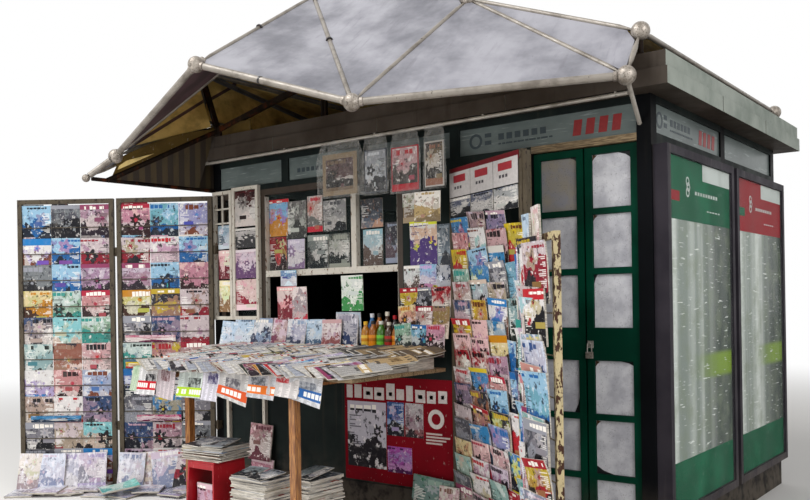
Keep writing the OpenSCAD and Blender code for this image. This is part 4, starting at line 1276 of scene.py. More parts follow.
@dataclass
class WindowDisplay:
    """Magazines in the window, on the folded strips, on the pier, in the hatch and on the sill."""

    front: float = -1.2
    sill: float = 1.051
    seed: int = 21
    behind_glass: tuple[Shown, ...] = (
        (-1.185, -0.985, 1.9, 2.17, "#7fb3d9 #c9862c #c8202c"),
        (-1.005, -0.81, 1.878, 2.145, "#6f6c6a #3a3836 #d9d4cc"),
        (-0.796, -0.65, 1.91, 2.165, "#c9c4c0 #6f6c69 #c4283a"), (-0.64, -0.43, 1.905, 2.12, "#cbc7c4 #1d1b1e #57565a"),
        (-1.19, -1.01, 1.655, 1.895, "#8c1620 #2a1216 #c23a3e"), (-1.0, -0.83, 1.657, 1.87, "#c9bcd2 #8a6f92 #e3dbe6"),
        (-0.802, -0.6, 1.65, 1.888, "#3d4240 #191b1e #8c928c"), (-0.592, -0.4, 1.642, 1.885, "#454842 #1c1e1e #9a9c90"),
        (-0.295, -0.105, 1.905, 2.1, "#3a3a40 #b98f78 #5c6a78"), (-0.28, -0.11, 1.65, 1.895, "#b9cdd2 #5a4a44 #8fb3bd"),
        (-0.085, 0.04, 1.66, 1.93, "#35323a #54434b #8d93a5"),
    )
    on_pier: tuple[Shown, ...] = (
        (0.1, 0.3, 1.91, 2.1, "#dcd8d0 #7d6a55 #a8957a"), (0.155, 0.368, 1.635, 1.915, "#d8d2cc #4d3a70 #d9dc3c"),
        (0.37, 0.478, 1.63, 1.885, "#5f6a74 #33363c #8f9aa2"), (0.225, 0.358, 1.44, 1.64, "#8db3d0 #6f4c86 #c9a7d6"),
        (0.357, 0.47, 1.42, 1.63, "#1d2a44 #d8dce6 #e8e8ee"), (0.1, 0.23, 1.44, 1.635, "#b8c6c2 #5a4c46 #e3dfd8"),
    )
    in_hatch: tuple[Shown, ...] = (
        (-0.432, -0.239, 1.348, 1.588, "#d9dcd4 #3f8a4c #e6e8e0"),
        (-0.483, -0.262, 1.081, 1.341, "#cdd0d8 #27375c #8fa0bc"),
        (-1.055, -0.86, 1.29, 1.527, "#d8c3be #7c2f38 #e8a8a8"),
        (-0.95, -0.757, 1.285, 1.52, "#e3d6d2 #c8394a #5f4350"),
        (-1.02, -0.86, 1.533, 1.645, "#7fb0cf #d9e6ee #3f6f9c"),
    )
    outer_strip: tuple[Shown, ...] = (
        (-1.688, -1.551, 1.83, 2.01, "#8fa5b5 #5d6a76 #c9d3da"), (-1.688, -1.551, 1.6, 1.82, "#d8a0a4 #6b2430 #e8c6c2"),
        (-1.688, -1.551, 1.35, 1.59, "#dcc98a #8a6a4c #efe2b8"),
    )
    inner_strip: tuple[Shown, ...] = (
        (-1.493, -1.26, 1.99, 2.255, "#5a1c22 #d8cdc6 #2c1a1c"),
        (-1.493, -1.26, 1.83, 1.975, "#a8a59f #3f3e40 #dedad4"), (-1.493, -1.26, 1.6, 1.815, "#d3b7c4 #6a4a70 #ebdde2"),
        (-1.493, -1.26, 1.36, 1.59, "#dba3ac #8f2236 #eccfd2"),
    )

    def put(self, pad: Pad, cards: Sequence[Shown], y: float, curl: float = 0.002) -> None:
        """Puts flat cards up with their backs at y.

        Args:
            pad: Mesh that takes it.
            cards: Cards to put up.
            y: Depth of their backs.
            curl: How far they curl.
        """
        for x0, x1, z0, z1, inks in cards:
            card = Card(x1 - x0, z1 - z0, 0.004, 0.001, curl)
            card.lay(pad, upright(x0, y, z0, tip=pad.rng.gauss(0, 0.5)), (Palette(inks),))

    def sill_row(self, pad: Pad) -> None:
        """Pale magazines that stand along the sill and lean back.

        Args:
            pad: Mesh that takes it.
        """
        rng = pad.rng
        x = -1.655
        while x < -0.52:
            wide = rng.uniform(0.17, 0.215)
            card = Card(wide, rng.uniform(0.235, 0.26), 0.006, 0.003, 0.006)
            place = upright(x, -1.262, self.sill, rng.uniform(-6, 4), rng.uniform(8, 13), rng.gauss(0, 1.5))
            card.lay(pad, place, PALE_INKS)
            x += wide * rng.uniform(0.78, 0.95)
        Card(0.2, 0.28, 0.006, 0.002, 0.004).lay(
            pad, upright(-0.48, -1.24, self.sill, lean=6), (Palette("#d9d6dc #2d3a5c #8f8a98"),)
        )

    def pier_stock(self, pad: Pad) -> None:
        """Crowded magazines on the pier above the table's right end.

        Args:
            pad: Mesh that takes it.
        """
        rng = pad.rng
        for row in range(4):
            for k in range(3):
                x = 0.1 + k * 0.118 + rng.uniform(-0.01, 0.01)
                card = Card(rng.uniform(0.13, 0.16), 0.2, 0.004, 0.002, 0.008)
                turn, tip = rng.uniform(-5, 5), rng.gauss(0, 3)
                place = upright(x, -1.215 - 0.03 * (3 - row), 1.06 + row * 0.115, turn, 7, tip)
                card.lay(pad, place)

    def build(self) -> None:
        """Makes the cards of the front."""
        pad = Pad("window_cards", self.seed)
        self.put(pad, self.behind_glass, self.front + 0.045, 0.0)
        self.put(pad, self.on_pier, self.front - 0.002)
        self.put(pad, self.in_hatch, self.front - 0.01, 0.004)
        self.put(pad, self.outer_strip, self.front - 0.016, 0.0)
        self.put(pad, self.inner_strip, self.front - 0.016, 0.0)
        self.sill_row(pad)
        self.pier_stock(pad)
        made = pad.build()
        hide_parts("window_magazines")


@dataclass
class HangingBags:
    """Clear bags of magazines that hang on the pipe, and a framed card on the last of them."""

    pipe_y: float = -1.35
    pipe_z: float = 2.474
    seed: int = 31
    bags: tuple[tuple[float, float, float, str, Palette], ...] = (
        (-0.5, -0.09, 2.1, "#8a7860", Palette("#3a3430 #171312 #6c5a48")),
        (-0.095, 0.118, 2.09, "#4c5058", Palette("#8d9096 #1f2228 #c0c3c8")),
        (0.127, 0.368, 2.08, "#a8303a", Palette("#cfcac8 #3a3230 #a8202c")),
        (0.385, 0.557, 2.085, "#b9b4ae", Palette("#3a302c #1a1412 #8a5a44")),
    )

    def shell(self, pad: Pad, x0: float, x1: float, z0: float) -> None:
        """One bag: a lofted film shell gathered over the pipe, with creases across it.

        Args:
            pad: Mesh that takes it.
            x0: Left edge.
            x1: Right edge.
            z0: Foot.
        """
        phase = [pad.rng.uniform(0, 6.28) for _ in range(4)]
        top = self.pipe_z - 0.006

        def skin(u: float, v: float, sign: float) -> Vector:
            """Front (1) or back (-1) of the bag."""
            gather = 1 - 0.2 * max(0.0, v - 0.72) / 0.28
            puff = 0.017 * sin(pi * min(1.0, max(0.0, u))) ** 0.6 * (1 - 0.75 * v)
            crease = 0.0035 * sin(9 * u + phase[0]) * sin(5 * v + phase[1])
            crease += 0.003 * sin(23 * u + phase[2] + 4 * v) * v
            x = (x0 + x1) / 2 + (u - 0.5) * (x1 - x0) * gather
            z = z0 + (top - z0) * v + 0.006 * sin(7 * u + phase[3]) * v
            edge = sin(pi * u) ** 0.5 if 0 < u < 1 else 0.0
            return Vector((x, self.pipe_y - 0.019 - sign * (puff + 0.0015) * edge - crease, z))

        pad.slab(lambda u, v: skin(u, v, 1), lambda u, v: skin(u, v, -1), (FILM, FILM, FILM), 14, 16)

    def build(self) -> None:
        """Makes the bags and what is in them."""
        goods, films = Pad("bagged_magazines", self.seed), Pad("hanging_bags")
        films.rng = goods.rng
        for x0, x1, z0, mount, inks in self.bags:
            wide = min(x1 - x0 - 0.03, 0.3)
            x, rim = x0 + (x1 - x0 - wide) / 2, 0.03 if wide > 0.25 else 0.008
            goods.ink = plain(mount)
            goods.box(upright(x, self.pipe_y - 0.0165, z0 + 0.014), (0, -0.004, 0), (wide, 0, 0.275), DARK_PRINT)
            picture = Card(wide - 2 * rim, 0.275 - 2.2 * rim, 0.0012, 0.0008, 0.0)
            picture.lay(goods, upright(x + rim, self.pipe_y - 0.0207, z0 + 0.014 + rim), (inks,))
            self.shell(films, x0, x1, z0)
        frame_card = Card(0.196, 0.185, 0.004, 0.001, 0.0)
        frame_card.lay(goods, upright(0.31, self.pipe_y - 0.012, 1.892, tip=1.5), (Palette("#e2ddd4 #7a684c #b59c6c"),))
        goods.build()
        films.build()


# A paper over the table's edge: left and right edge, height of its foot, how much higher its right foot corner
# is than its left, place of its accent band from 0 at the foot to 1 at the head, and inks.
Paper = tuple[float, float, float, float, float, str]


@dataclass
class TableTop:
    """Shingled newspapers on the display table and papers hung over its front edge."""

    left: float = -1.35
    right: float = 0.51
    edge_y: float = -2.2245
    top: float = 1.0
    seed: int = 41
    hung: tuple[Paper, ...] = (
        (-1.348, -1.272, 0.845, 0.0, 0.9, "#b9cbb0 #8fa58a #c2d0a8"),
        (-1.292, -1.085, 0.826, 0.0, 0.12, "#d8d6d6 #1f1d22 #b8202c"),
        (-1.082, -0.908, 0.81, -0.02, 0.9, "#c9bcc0 #6a4a4c #b88f98"),
        (-0.87, -0.645, 0.83, 0.0, 0.0, "#c9d2cc #3c403c #a8c834"),
        (-0.66, -0.49, 0.822, -0.01, 0.85, "#d6d2dc #4f486c #2b2a34"),
        (-0.476, -0.225, 0.828, -0.055, 0.06, "#cbc8c6 #5f5c62 #c8542c"),
        (-0.24, -0.015, 0.857, -0.01, 0.1, "#c2c3c8 #55595f #d8702c"),
        (-0.065, 0.175, 0.876, -0.015, 0.8, "#d8d2d0 #a8282f #b0262e"),
        (0.1, 0.346, 0.85, -0.05, 0.1, "#cfd0d4 #6a6f78 #2f5f9c"),
    )

    def inks(self, x: float, y: float, rng: Random) -> tuple[Sequence[Palette], Finish]:
        """Papers by place: bright to the left, dark in a slanting belt, kraft at the right end.

        Args:
            x: Place across.
            y: Place in depth.
            rng: Source of disorder.

        Returns:
            Palettes and finish.
        """
        past = x + 0.917 * (y + 2.236)
        if past > 0.7:
            kraft = ("#b09468 #5a4630 #c8b48c", "#55432e #2a2018 #8a7450", "#8d7450 #4a3828 #b8a07a")
            return [Palette(inks) for inks in kraft], NEWS
        if past > 0.46:
            return (Palette("#3a3735 #1f1d1e #8a8078"), Palette("#a8a5a2 #2a2624 #b59a6c")), NEWS
        return (NEWS_INKS, NEWS) if rng.random() < 0.7 else (COVER_INKS, COVER)

    def shingles(self, pad: Pad) -> None:
        """Three rows that rise toward the back, each paper lying on its left neighbour.

        Args:
            pad: Mesh that takes it.
        """
        rng = pad.rng
        for y, base, turn in ((-2.205, 0.0, -24), (-1.95, 0.026, -20), (-1.69, 0.062, -16)):
            x = self.left + 0.01
            while base and x < self.right - 0.22:
                low = move(x, y, self.top + 0.001) @ spin("X", -90)
                Card(0.225, 0.25, base, 0.0, 0.0).lay(pad, low, NEWS_INKS, NEWS)
                x += 0.23
            x = self.left + 0.012
            while x < self.right - 0.07:
                thick, step = rng.uniform(0.003, 0.006), rng.uniform(0.022, 0.04)
                matrix = move(x, y + rng.uniform(-0.03, 0.02), self.top + base + 0.052)
                matrix @= spin("Z", turn + rng.gauss(0, 4)) @ spin("Y", rng.uniform(12, 15)) @ spin("X", -87)
                palettes, front = self.inks(x, y + 0.13, rng)
                wide = min(rng.uniform(0.19, 0.225), self.right + 0.02 - x)
                Card(wide, 0.265, thick, 0.003, 0.006).lay(pad, matrix, palettes, front)
                x += step

    def over_edge(self, pad: Pad, ahead: float, paper: Paper) -> None:
        """One paper that lies on the table and hangs down over its front edge.

        Args:
            pad: Mesh that takes it.
            ahead: How far it stands before the last one.
            paper: Its place and print.
        """
        rng = pad.rng
        x0, x1, foot, skew, band, inks = paper
        back, bend, thick = 0.08, 0.011, 0.003
        drop = self.top - foot - bend
        quarter = bend * pi / 2
        whole = back + quarter + drop
        flare, slip, twist = rng.uniform(0.004, 0.02), rng.uniform(-0.012, 0.012), rng.uniform(-0.006, 0.006)

        def path(u: float, v: float, out: float) -> Vector:
            """Point of the paper, out from its back."""
            run = (1 - v) * whole
            if run < back:
                y, z, ny, nz = self.edge_y + back - run, self.top + 0.012, 0.0, 1.0
            elif run < back + quarter:
                turn = (run - back) / bend
                y, z = self.edge_y - bend * sin(turn), self.top + 0.012 - bend * (1 - cos(turn))
                ny, nz = -sin(turn), cos(turn)
            else:
                fall = run - back - quarter
                share = fall / max(drop, 0.01)
                wave = 0.003 * sin(7 * u + slip * 300) * share
                y = self.edge_y - bend - ahead * share - (flare + twist * (u - 0.5)) * share * share - wave
                z, ny, nz = self.top + 0.012 - bend - fall, -1.0, 0.0
            z += skew * (u - 0.5) * (1 - v)
            return Vector((x0 + u * (x1 - x0) + (slip + skew * 0.6) * (1 - v), y + out * ny, z + out * nz))

        pad.ink = (Palette(inks), (rng.random(), band, rng.uniform(0.5, 1.0)))
        pad.slab(lambda u, v: path(u, v, thick), lambda u, v: path(u, v, 0.0), (NEWS, NEWS, PAGES), 6, 16)

    def build(self) -> None:
        """Dresses the table and lays its papers."""
        dress("table_slats", Timber("planed_pine_slats", "#a58d68", "#7d6747"), 2.0)
        dress("table_battens", Timber("pine_props", "#c08442", "#8a5424", along=2), 2.5)
        pad = Pad("table_papers", self.seed)
        self.shingles(pad)
        for k, paper in enumerate(self.hung):
            self.over_edge(pad, 0.003 * (len(self.hung) - k), paper)
        made = pad.build()
        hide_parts("table_newspapers")


@dataclass
class Drinks:
    """Bottles on the sill: filled body, neck, cap and a wrapped label."""

    first_x: float = -0.2
    pitch: float = 0.066
    front: float = -1.24
    sill: float = 1.05
    seed: int = 211
    drinks: tuple[tuple[str, str, str], ...] = (
        ("#d08a1c", "#e0b030", "#e6c04a"),
        ("#3a7ab8", "#d9dce2", "#e0e2e8"),
        ("#4f8a2c", "#e2e0d4", "#6fc03c"),
        ("#2a1610", "#b81c24", "#16140f"),
        ("#b86a18", "#2a2522", "#e08a1c"),
        ("#5a3a20", "#e0d8c8", "#a82c24"),
    )

    def bottle(self, pad: Pad, x: float, y: float, tall: float) -> None:
        """One bottle; tall scales its height.

        Args:
            pad: Mesh that takes it.
            x: Place across.
            y: Place in depth.
            tall: Scale of its height.
        """
        drink, cap, label = pad.rng.choice(self.drinks)
        place = move(x, y, self.sill) @ Matrix.Diagonal((1, 1, tall, 1))
        pad.ink = plain(drink)
        body = [
            (0, 0), (0.024, 0), (0.03, 0.004), (0.032, 0.012), (0.032, 0.15), (0.03, 0.165), (0.024, 0.183),
            (0.0165, 0.196), (0.013, 0.204), (0.013, 0.215), (0, 0.215),
        ]
        pad.turned(place, body, BOTTLE, 20)
        rings = (
            (cap, 0.0131, 0.2125, 0.2355, 0.0147), (label, 0.0321, 0.055, 0.142, 0.0325),
            (drink, 0.0326, 0.1, 0.122, 0.0329),
        )
        for code, inner, low, high, outer in rings:
            pad.ink = plain(code)
            ring = [(inner, low), (outer, low + 0.001), (outer, high - 0.001), (inner, high)]
            pad.turned(place, ring + [(0, high)] * (code == cap and high > 0.2), INKED, 20)

    def build(self) -> None:
        """Makes two rows of bottles, the rear one taller."""
        pad = Pad("drink_bottles", self.seed)
        for row, tall in enumerate((0.95, 1.18)):
            for i in range(6):
                at = self.first_x + i * self.pitch + pad.rng.uniform(-0.003, 0.003)
                self.bottle(pad, at, self.front + row * self.pitch, tall * pad.rng.uniform(0.93, 1.05))
        made = pad.build(smooth=50)
        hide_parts("bottles")


@dataclass
class GroundStock:
    """Stool, magazine piles, packs at the rack feet and loose packs that lean under the table."""

    racks: Sequence[GoodsRack]
    stool_x: float = -0.84
    stool_y: float = -2.21
    stool_top: float = 0.45
    stool_wide: float = 0.24
    stool_deep: float = 0.25
    seed: int = 61

    def pile(
        self, pad: Pad, corner: Point, size: Point,
        turn: float, each: float, palettes: Sequence[Palette],
    ) -> None:
        """An untidy pile of flat papers with a dark cover on top.

        Args:
            pad: Mesh that takes it.
            corner: Lower left near corner.
            size: Across, deep and high.
            turn: Degrees about the vertical.
            each: Mean thickness of one paper.
            palettes: Inks to draw from.
        """
        rng = pad.rng
        top = (Palette("#4d545e #1b1d22 #8f969c"), Palette("#5d6370 #20242c #a8a8aa"))
        sheet = NEWS if palettes is NEWS_INKS else COVER
        height = 0.0
        while height < size[2] - each * 0.5:
            thick = min(rng.uniform(0.7, 1.4) * each, size[2] - height)
            slip = [rng.gauss(0, 0.007) for _ in range(2)]
            matrix = move(corner[0] + slip[0], corner[1] + slip[1], corner[2] + height)
            matrix @= spin("Z", turn + rng.gauss(0, 2.4)) @ spin("X", -90)
            height += thick
            last = height >= size[2] - each * 0.5
            card = Card(size[0], size[1], thick * 0.96, 0.0006, 0.002 if last else 0.0)
            card.lay(pad, matrix, top if last else palettes, COVER if last else sheet)
        for side in (0.1, 0.55):
            matrix = move(corner[0] + size[0] * side - 0.03, corner[1] + 0.01, corner[2] + height + 0.002)
            matrix @= spin("Z", turn + rng.uniform(-14, 14)) @ spin("X", -84)
            Card(size[0] * 0.5, size[1] * 0.85, 0.004, 0.001, 0.003).lay(pad, matrix, top)

    def at_rack(self, pad: Pad, rack: GoodsRack) -> None:
        """Film-wrapped packs that lean at a rack's foot, others lying flat before them.

        Args:
            pad: Mesh that takes it.
            rack: The rack.
        """
        rng = pad.rng
        x = 0.01
        while x < rack.width - 0.17:
            wide = rng.uniform(0.19, 0.23)
            back, lean, tip = rng.uniform(-0.1, -0.081), rng.uniform(-17, -13), rng.gauss(0, 5)
            matrix = rack.place() @ move(x, back, 0.005 + max(0.0, wide * sin(radians(tip))))
            matrix @= spin("X", lean) @ spin("Y", tip)
            dark = rng.random() < 0.2
            Card(wide, 0.28, 0.012, 0.006, 0.004).lay(
                pad, matrix, COVER_INKS if dark else FILM_INKS, COVER if dark else WRAPPED
            )
            x += wide * rng.uniform(0.6, 0.8)
        for k in range(7):
            along = 0.02 + 0.095 * k
            matrix = rack.place() @ move(along, -0.32 + 0.08 * (k % 2), 0.003 + 0.012 * (k % 3))
            matrix @= spin("Z", rng.uniform(-25, 25)) @ spin("X", -88)
            Card(0.2, 0.27, 0.011, 0.002, 0.0).lay(pad, matrix, FILM_INKS, WRAPPED)

    def leaning(self, pad: Pad) -> None:
        """Bagged magazines on the lower wall, before the poster and in the stool.

        Args:
            pad: Mesh that takes it.
        """
        near = (
            ((-1.348, -1.25, 0.231), 0.0, 0.26, PINK_INKS), ((-1.348, -1.25, 0.231), 0.25, 0.265, PINK_INKS),
            ((0.17, -1.27, 0.322), 0.0, 0.29, (Palette("#2f6f4c #12261c #8fa89a"),)),
            ((0.423, -1.33, 0.145), 0.0, 0.27, (Palette("#c9c2b8 #7a5a4c #c89a7c"),)),
        )
        for (x, y, wide), z, high, inks in near:
            tip = pad.rng.gauss(0, 2)
            rise = 0.003 + max(0.0, wide * sin(radians(tip)))
            Card(wide, high, 0.01, 0.004, 0.004).lay(pad, upright(x, y, z + rise, lean=7, tip=tip), inks)
        sea = move(-2.25, -1.93, 0.045) @ spin("Z", -25)
        sea @= spin("X", -84)
        Card(0.22, 0.27, 0.012, 0.004, 0.01).lay(pad, sea, (Palette("#48b0a4 #2f8f8c #8fd0c8"),))
        for k in range(3):
            place = upright(self.stool_x + 0.03, self.stool_y + 0.05 + 0.05 * k, 0.003, pad.rng.uniform(-6, 6), 5)
            Card(0.17, 0.3 - 0.02 * k, 0.02, 0.008, 0.008).lay(pad, place, PINK_INKS)

    def stool(self) -> None:
        """Plastic stool: two splayed side panels, a top with a rim and a grip slot, rails between."""
        red = MouldedPlastic("red_polypropylene")
        pad = Pad("plastic_stool")
        place = move(self.stool_x, self.stool_y, 0)
        wide, deep, top = self.stool_wide, self.stool_deep, self.stool_top
        for side in (-1, 1):

            def sheet(u: float, v: float, inset: float, side: int = side) -> Vector:
                """Point of a side panel."""
                x = max(side, 0) * wide + side * (0.02 * (1 - v) - inset)
                spread = 0.018 * (1 - v)
                across = u if side > 0 else 1 - u
                return place @ Vector((x, -spread + across * (deep + 2 * spread), v * (top - 0.012)))

            pad.slab(lambda u, v, s=sheet: s(u, v, 0.0), lambda u, v, s=sheet: s(u, v, 0.014), (red, red, red), 2, 4)
        pad.box(place, (0.0, 0.0, top - 0.03), (wide, deep, top - 0.012), red)
        for low, high in (
            ((0.0, 0.0), (wide, 0.03)), ((0.0, deep - 0.03), (wide, deep)),
            ((0.0, 0.03), (0.03, deep - 0.03)), ((wide - 0.03, 0.03), (wide, deep - 0.03)),
        ):
            pad.box(place, (*low, top - 0.012), (*high, top - 0.001), red)
        for y in (0.0, deep - 0.014):
            pad.box(place, (0.005, y, top - 0.05), (wide - 0.005, y + 0.014, top - 0.028), red)
        made = pad.build(bevel_mm=3.0)
        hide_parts("stool")

    def build(self) -> None:
        """Makes the goods on the ground, the packs leaning at the feet of the racks."""
        self.stool()
        pad = Pad("ground_stacks", self.seed)
        self.pile(pad, (-0.885, -2.22, self.stool_top), (0.33, 0.25, 0.085), 6, 0.006, COVER_INKS)
        self.pile(pad, (-0.4, -2.255, 0.0), (0.285, 0.215, 0.4), 0, 0.009, NEWS_INKS)
        self.pile(pad, (-0.185, -2.03, 0.0), (0.215, 0.285, 0.38), 0, 0.009, NEWS_INKS)
        self.leaning(pad)
        for rack in self.racks:
            self.at_rack(pad, rack)
        made = pad.build()
        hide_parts("stacks")


@dataclass
class HutShell:
    """Hollow steel hut: floor, skirting, posts, walls with cover strips, soffit, fascia and roof deck."""

    half_w: float = 1.76
    rear: float = 1.2
    wall_foot: float = 0.205
    wall_head: float = 2.24
    charcoal: SprayedSteel = SprayedSteel("charcoal_enamelled_steel", "#0f1013", "#0b0c0e", "#35302c", 0.3)
    panel: SprayedSteel = SprayedSteel("bottle_green_wall_sheet", "#222a28", "#191e1e", "#3a372f", 0.4, 0.3)
    # The fascia's dark browns are soot and painted shade under the canopy; the soffit and roof deck share them.
    fascia: SprayedSteel = FasciaEnamel("fascia_enamel_soot_and_painted_shade", "#463f39", "#352e28", "#2b241e", 0.5, 0.0, 0.5)

    def build(self) -> None:
        """Dresses the shell's nodes and adds its trims."""
        dress("floor", SprayedSteel("worn_floor_plate", "#57534e", "#45413d", "#2f2b28", 0.2, 0.9, 0.6))
        dress("skirting", SprayedSteel("tarred_skirting", "#211f1f", "#191717", "#4a4239", 0.6, 0.45, 0.6), 3.0)
        dress("posts", self.charcoal, 3.0)
        for name in ("front_lower_wall", "front_pier", "left_wall", "rear_wall", "right_wall", "sign_rails"):
            dress(name, self.panel, 2.0)
        board = Timber("tan_laminate_board", "#a08a68", "#7d694c", weather="#6d6250", worn=0.5)
        dress("door_lintel", board, 2.0)
        dress("soffit", self.fascia, 2.0)
        dress("roof_fascia", self.fascia, 4.0)
        dress("roof_deck", self.fascia, 4.0)
        self.cover_strips()
        self.fascia_seams()

    def cover_strips(self) -> None:
        """Riveted strips over the sheet joints of the rear and left walls."""
        rivet = CastAlloy("zinc_rivet_heads")
        head = [(0.0045, 0), (0.0038, 0.0016), (0.002, 0.0026), (0, 0.003)]
        pad = Pad("wall_cover_strips")
        strips = [(HERE, self.rear, x) for x in (-1.12, -0.56, 0.0, 0.56, 1.12)]
        strips += [(spin("Z", 90), self.half_w, x) for x in (-0.6, 0.0, 0.6)]
        for wall, face, x in strips:
            low, high = (x - 0.02, face - 0.001, self.wall_foot), (x + 0.02, face + 0.003, self.wall_head)
            pad.box(wall, low, high, self.charcoal)
            for i in range(11):
                for dx in (-0.011, 0.011):
                    place = wall @ move(x + dx, face + 0.003, self.wall_foot + 0.06 + i * 0.19) @ spin("X", -90)
                    pad.turned(place, head, rivet, 8)
        pad.build()

    def fascia_seams(self) -> None:
        """Folded seam caps where the fascia sheets meet."""
        pad = Pad("fascia_seam_caps")
        for x in (-0.95, 0.0, 0.95):
            for y in (-1.352, 1.35):
                pad.box(HERE, (x - 0.012, y, 2.492), (x + 0.012, y + 0.002, 2.578), self.fascia)
        for y in (-0.45, 0.45):
            for x in (-1.912, 1.91):
                pad.box(HERE, (x, y - 0.012, 2.492), (x + 0.002, y + 0.012, 2.578), self.fascia)
        pad.build()


@dataclass
class SignBand:
    """Milky sign sheets over the openings with a plain rhythm of blocks, bars and a disc."""

    face: float = -1.188
    z0: float = 2.29
    z1: float = 2.45
    plate: SignPlate = SignPlate("milky_sign_acrylic_painted_shade")

    def blocks(self, pad: Pad, place: Matrix, at: float, red_at: float) -> None:
        """Dark disc and bars, then four leaning red blocks, along X of the place.

        Args:
            pad: Mesh that takes it.
            place: The sheet's own space.
            at: Start of the disc.
            red_at: Start of the blocks.
        """
        pad.ink = plain("#3d474c")
        mark = place @ move(at + 0.055, 0, 0.08) @ spin("X", 90)
        pad.turned(mark, [(0.03, 0.0), (0.046, 0.0), (0.046, 0.0012), (0.03, 0.0012), (0.03, 0.0)], DARK_PRINT, 24)
        for i in range(2):
            pad.box(place, (at + 0.12, -0.0012, 0.05 + i * 0.045), (at + 0.165, 0, 0.075 + i * 0.045), DARK_PRINT)
        for i in range(6):
            x = at + 0.215 + i * 0.056
            pad.box(place, (x, -0.0012, 0.07), (x + 0.038, 0, 0.108), DARK_PRINT)
        for i in range(14):
            x = at + 0.215 + i * 0.026
            pad.box(place, (x, -0.0012, 0.042), (x + 0.017 + 0.004 * (i % 3), 0, 0.052), DARK_PRINT)
        pad.ink = plain("#8e2f30")
        for i in range(4):
            x = red_at + i * 0.078
            corners = [(x, 0.03), (x + 0.05, 0.03), (x + 0.062, 0.118), (x + 0.012, 0.118)]
            pad.outline(place, corners, 0.0012, DARK_PRINT)

    def build(self) -> None:
        """Dresses the sheets and prints them."""
        dress("sign_panels", self.plate, 1.0)
        pad = Pad("sign_blocks")
        front = move(0, self.face, self.z0)
        self.blocks(pad, front, 0.6, 1.3)
        pad.ink = plain("#3d474c")
        for i in range(7):
            x = -0.86 + i * 0.045
            pad.box(front, (x, -0.0012, 0.05), (x + 0.03, 0, 0.08), DARK_PRINT)
        turn = move(1.748, 0, self.z0) @ spin("Z", 90)
        self.blocks(pad, turn @ move(-1.1, 0, 0), 0.0, 0.68)
        pad.build()


@dataclass
class ServingWindow:
    """White window frame with its hatch, tan sill, glass and folded window strips."""

    def build(self) -> None:
        """Dresses the window's nodes and adds muntins and catches."""
        dress("window_frame", WINDOW_ENAMEL, 2.0)
        dress("window_strips", WHITE_ENAMEL, 2.0)
        dress("window_sill", Timber("painted_sill_board", "#9a9084", "#7c7266", worn=0.6), 3.0)
        dress("window_glass", FloatGlass("dusty_window_glass", 0.015))
        pad = Pad("window_muntins")
        for z in (2.02, 2.13):
            pad.box(HERE, (-1.718, -1.224, z), (-1.547, -1.212, z + 0.012), WHITE_ENAMEL)
        pad.box(HERE, (-1.64, -1.224, 2.0), (-1.63, -1.212, 2.24), WHITE_ENAMEL)
        for x in (-0.86, 0.0):
            pad.box(HERE, (x, -1.207, 1.615), (x + 0.05, -1.199, 1.637), WHITE_ENAMEL)
            pad.rod((x + 0.012, -1.207, 1.626), (x + 0.012, -1.216, 1.626), 0.006, WHITE_ENAMEL)
        pad.build()


@dataclass
class DoorLeaf:
    """One leaf: six panes with torn paper pasted over dark, nearly opaque glass."""

    x0: float
    body: str
    node: str
    seed: int
    width: float = 0.308
    stile: float = 0.04
    rail: float = 0.034
    foot: float = 0.1
    lock: float = 1.241
    pane_y: float = -1.165
    heights: Spot = (0.2973, 0.2983)

    def torn(self, pad: Pad, place: Matrix, wide: float, high: float, finish: Finish) -> None:
        """A sheet that nearly fills its pane; some have one corner torn off.

        Args:
            pad: Mesh that takes it.
            place: The pane's own space.
            wide: Width of the pane.
            high: Its height.
            finish: Finish of the sheet.
        """
        rng = pad.rng
        right, top = wide - 0.002, high - 0.002
        corners = [Vector(c) for c in ((0.002, 0.002), (right, 0.002), (right, top), (0.002, top))]
        lost = rng.choice((0, 1, 2, 3, 4, 4, 4, 4))
        points: list[Spot] = []
        for k, corner in enumerate(corners):
            if k != lost:
                points.append(tuple(corner))
                continue
            before, after = corners[k - 1] - corner, corners[(k + 1) % 4] - corner
            before *= rng.uniform(0.02, 0.045) / before.length
            after *= rng.uniform(0.03, 0.12) / after.length
            points += [tuple(corner + before), tuple(corner + (before + after) * 0.4), tuple(corner + after)]
        pad.outline(place, points, 0.0006, finish, spots=False)

    def build(self) -> None:
        """Pastes the paper on all six panes."""
        paper = PaperedPane("torn_lining_paper", "#e2e2e6", "#b6b6be")
        browned = PaperedPane("browned_lining_paper", "#9d9587")
        scrap = InkedSheet("burnt_tape_scraps", "#4c3a2c", "#6d5644", 0.5)
        pad = Pad(f"{self.node}_papers", self.seed)
        wide = self.width - 2 * self.stile
        for base, high, place in ((self.foot, self.heights[0], 0), (self.lock, self.heights[1], 1)):
            for i in range(3):
                z = base + i * (high + self.rail)
                finish = browned if place and i == 2 and self.body == "left_leaf" else paper
                matrix = move(self.x0 + self.stile, self.pane_y - 0.0002, z)
                self.torn(pad, matrix, wide, high, finish)
                if pad.rng.random() < 0.25:
                    dx = pad.rng.choice((0.002, wide - 0.028))
                    bits = ((0, 0.034), (0.01, 0.02), (0.026, 0.006), (0.002, 0.001))
                    bits = [(dx + x, high - z) for x, z in bits]
                    pad.outline(matrix @ move(0, -0.0006, 0), bits, 0.0006, scrap, spots=False)
        made = pad.build(self.body)


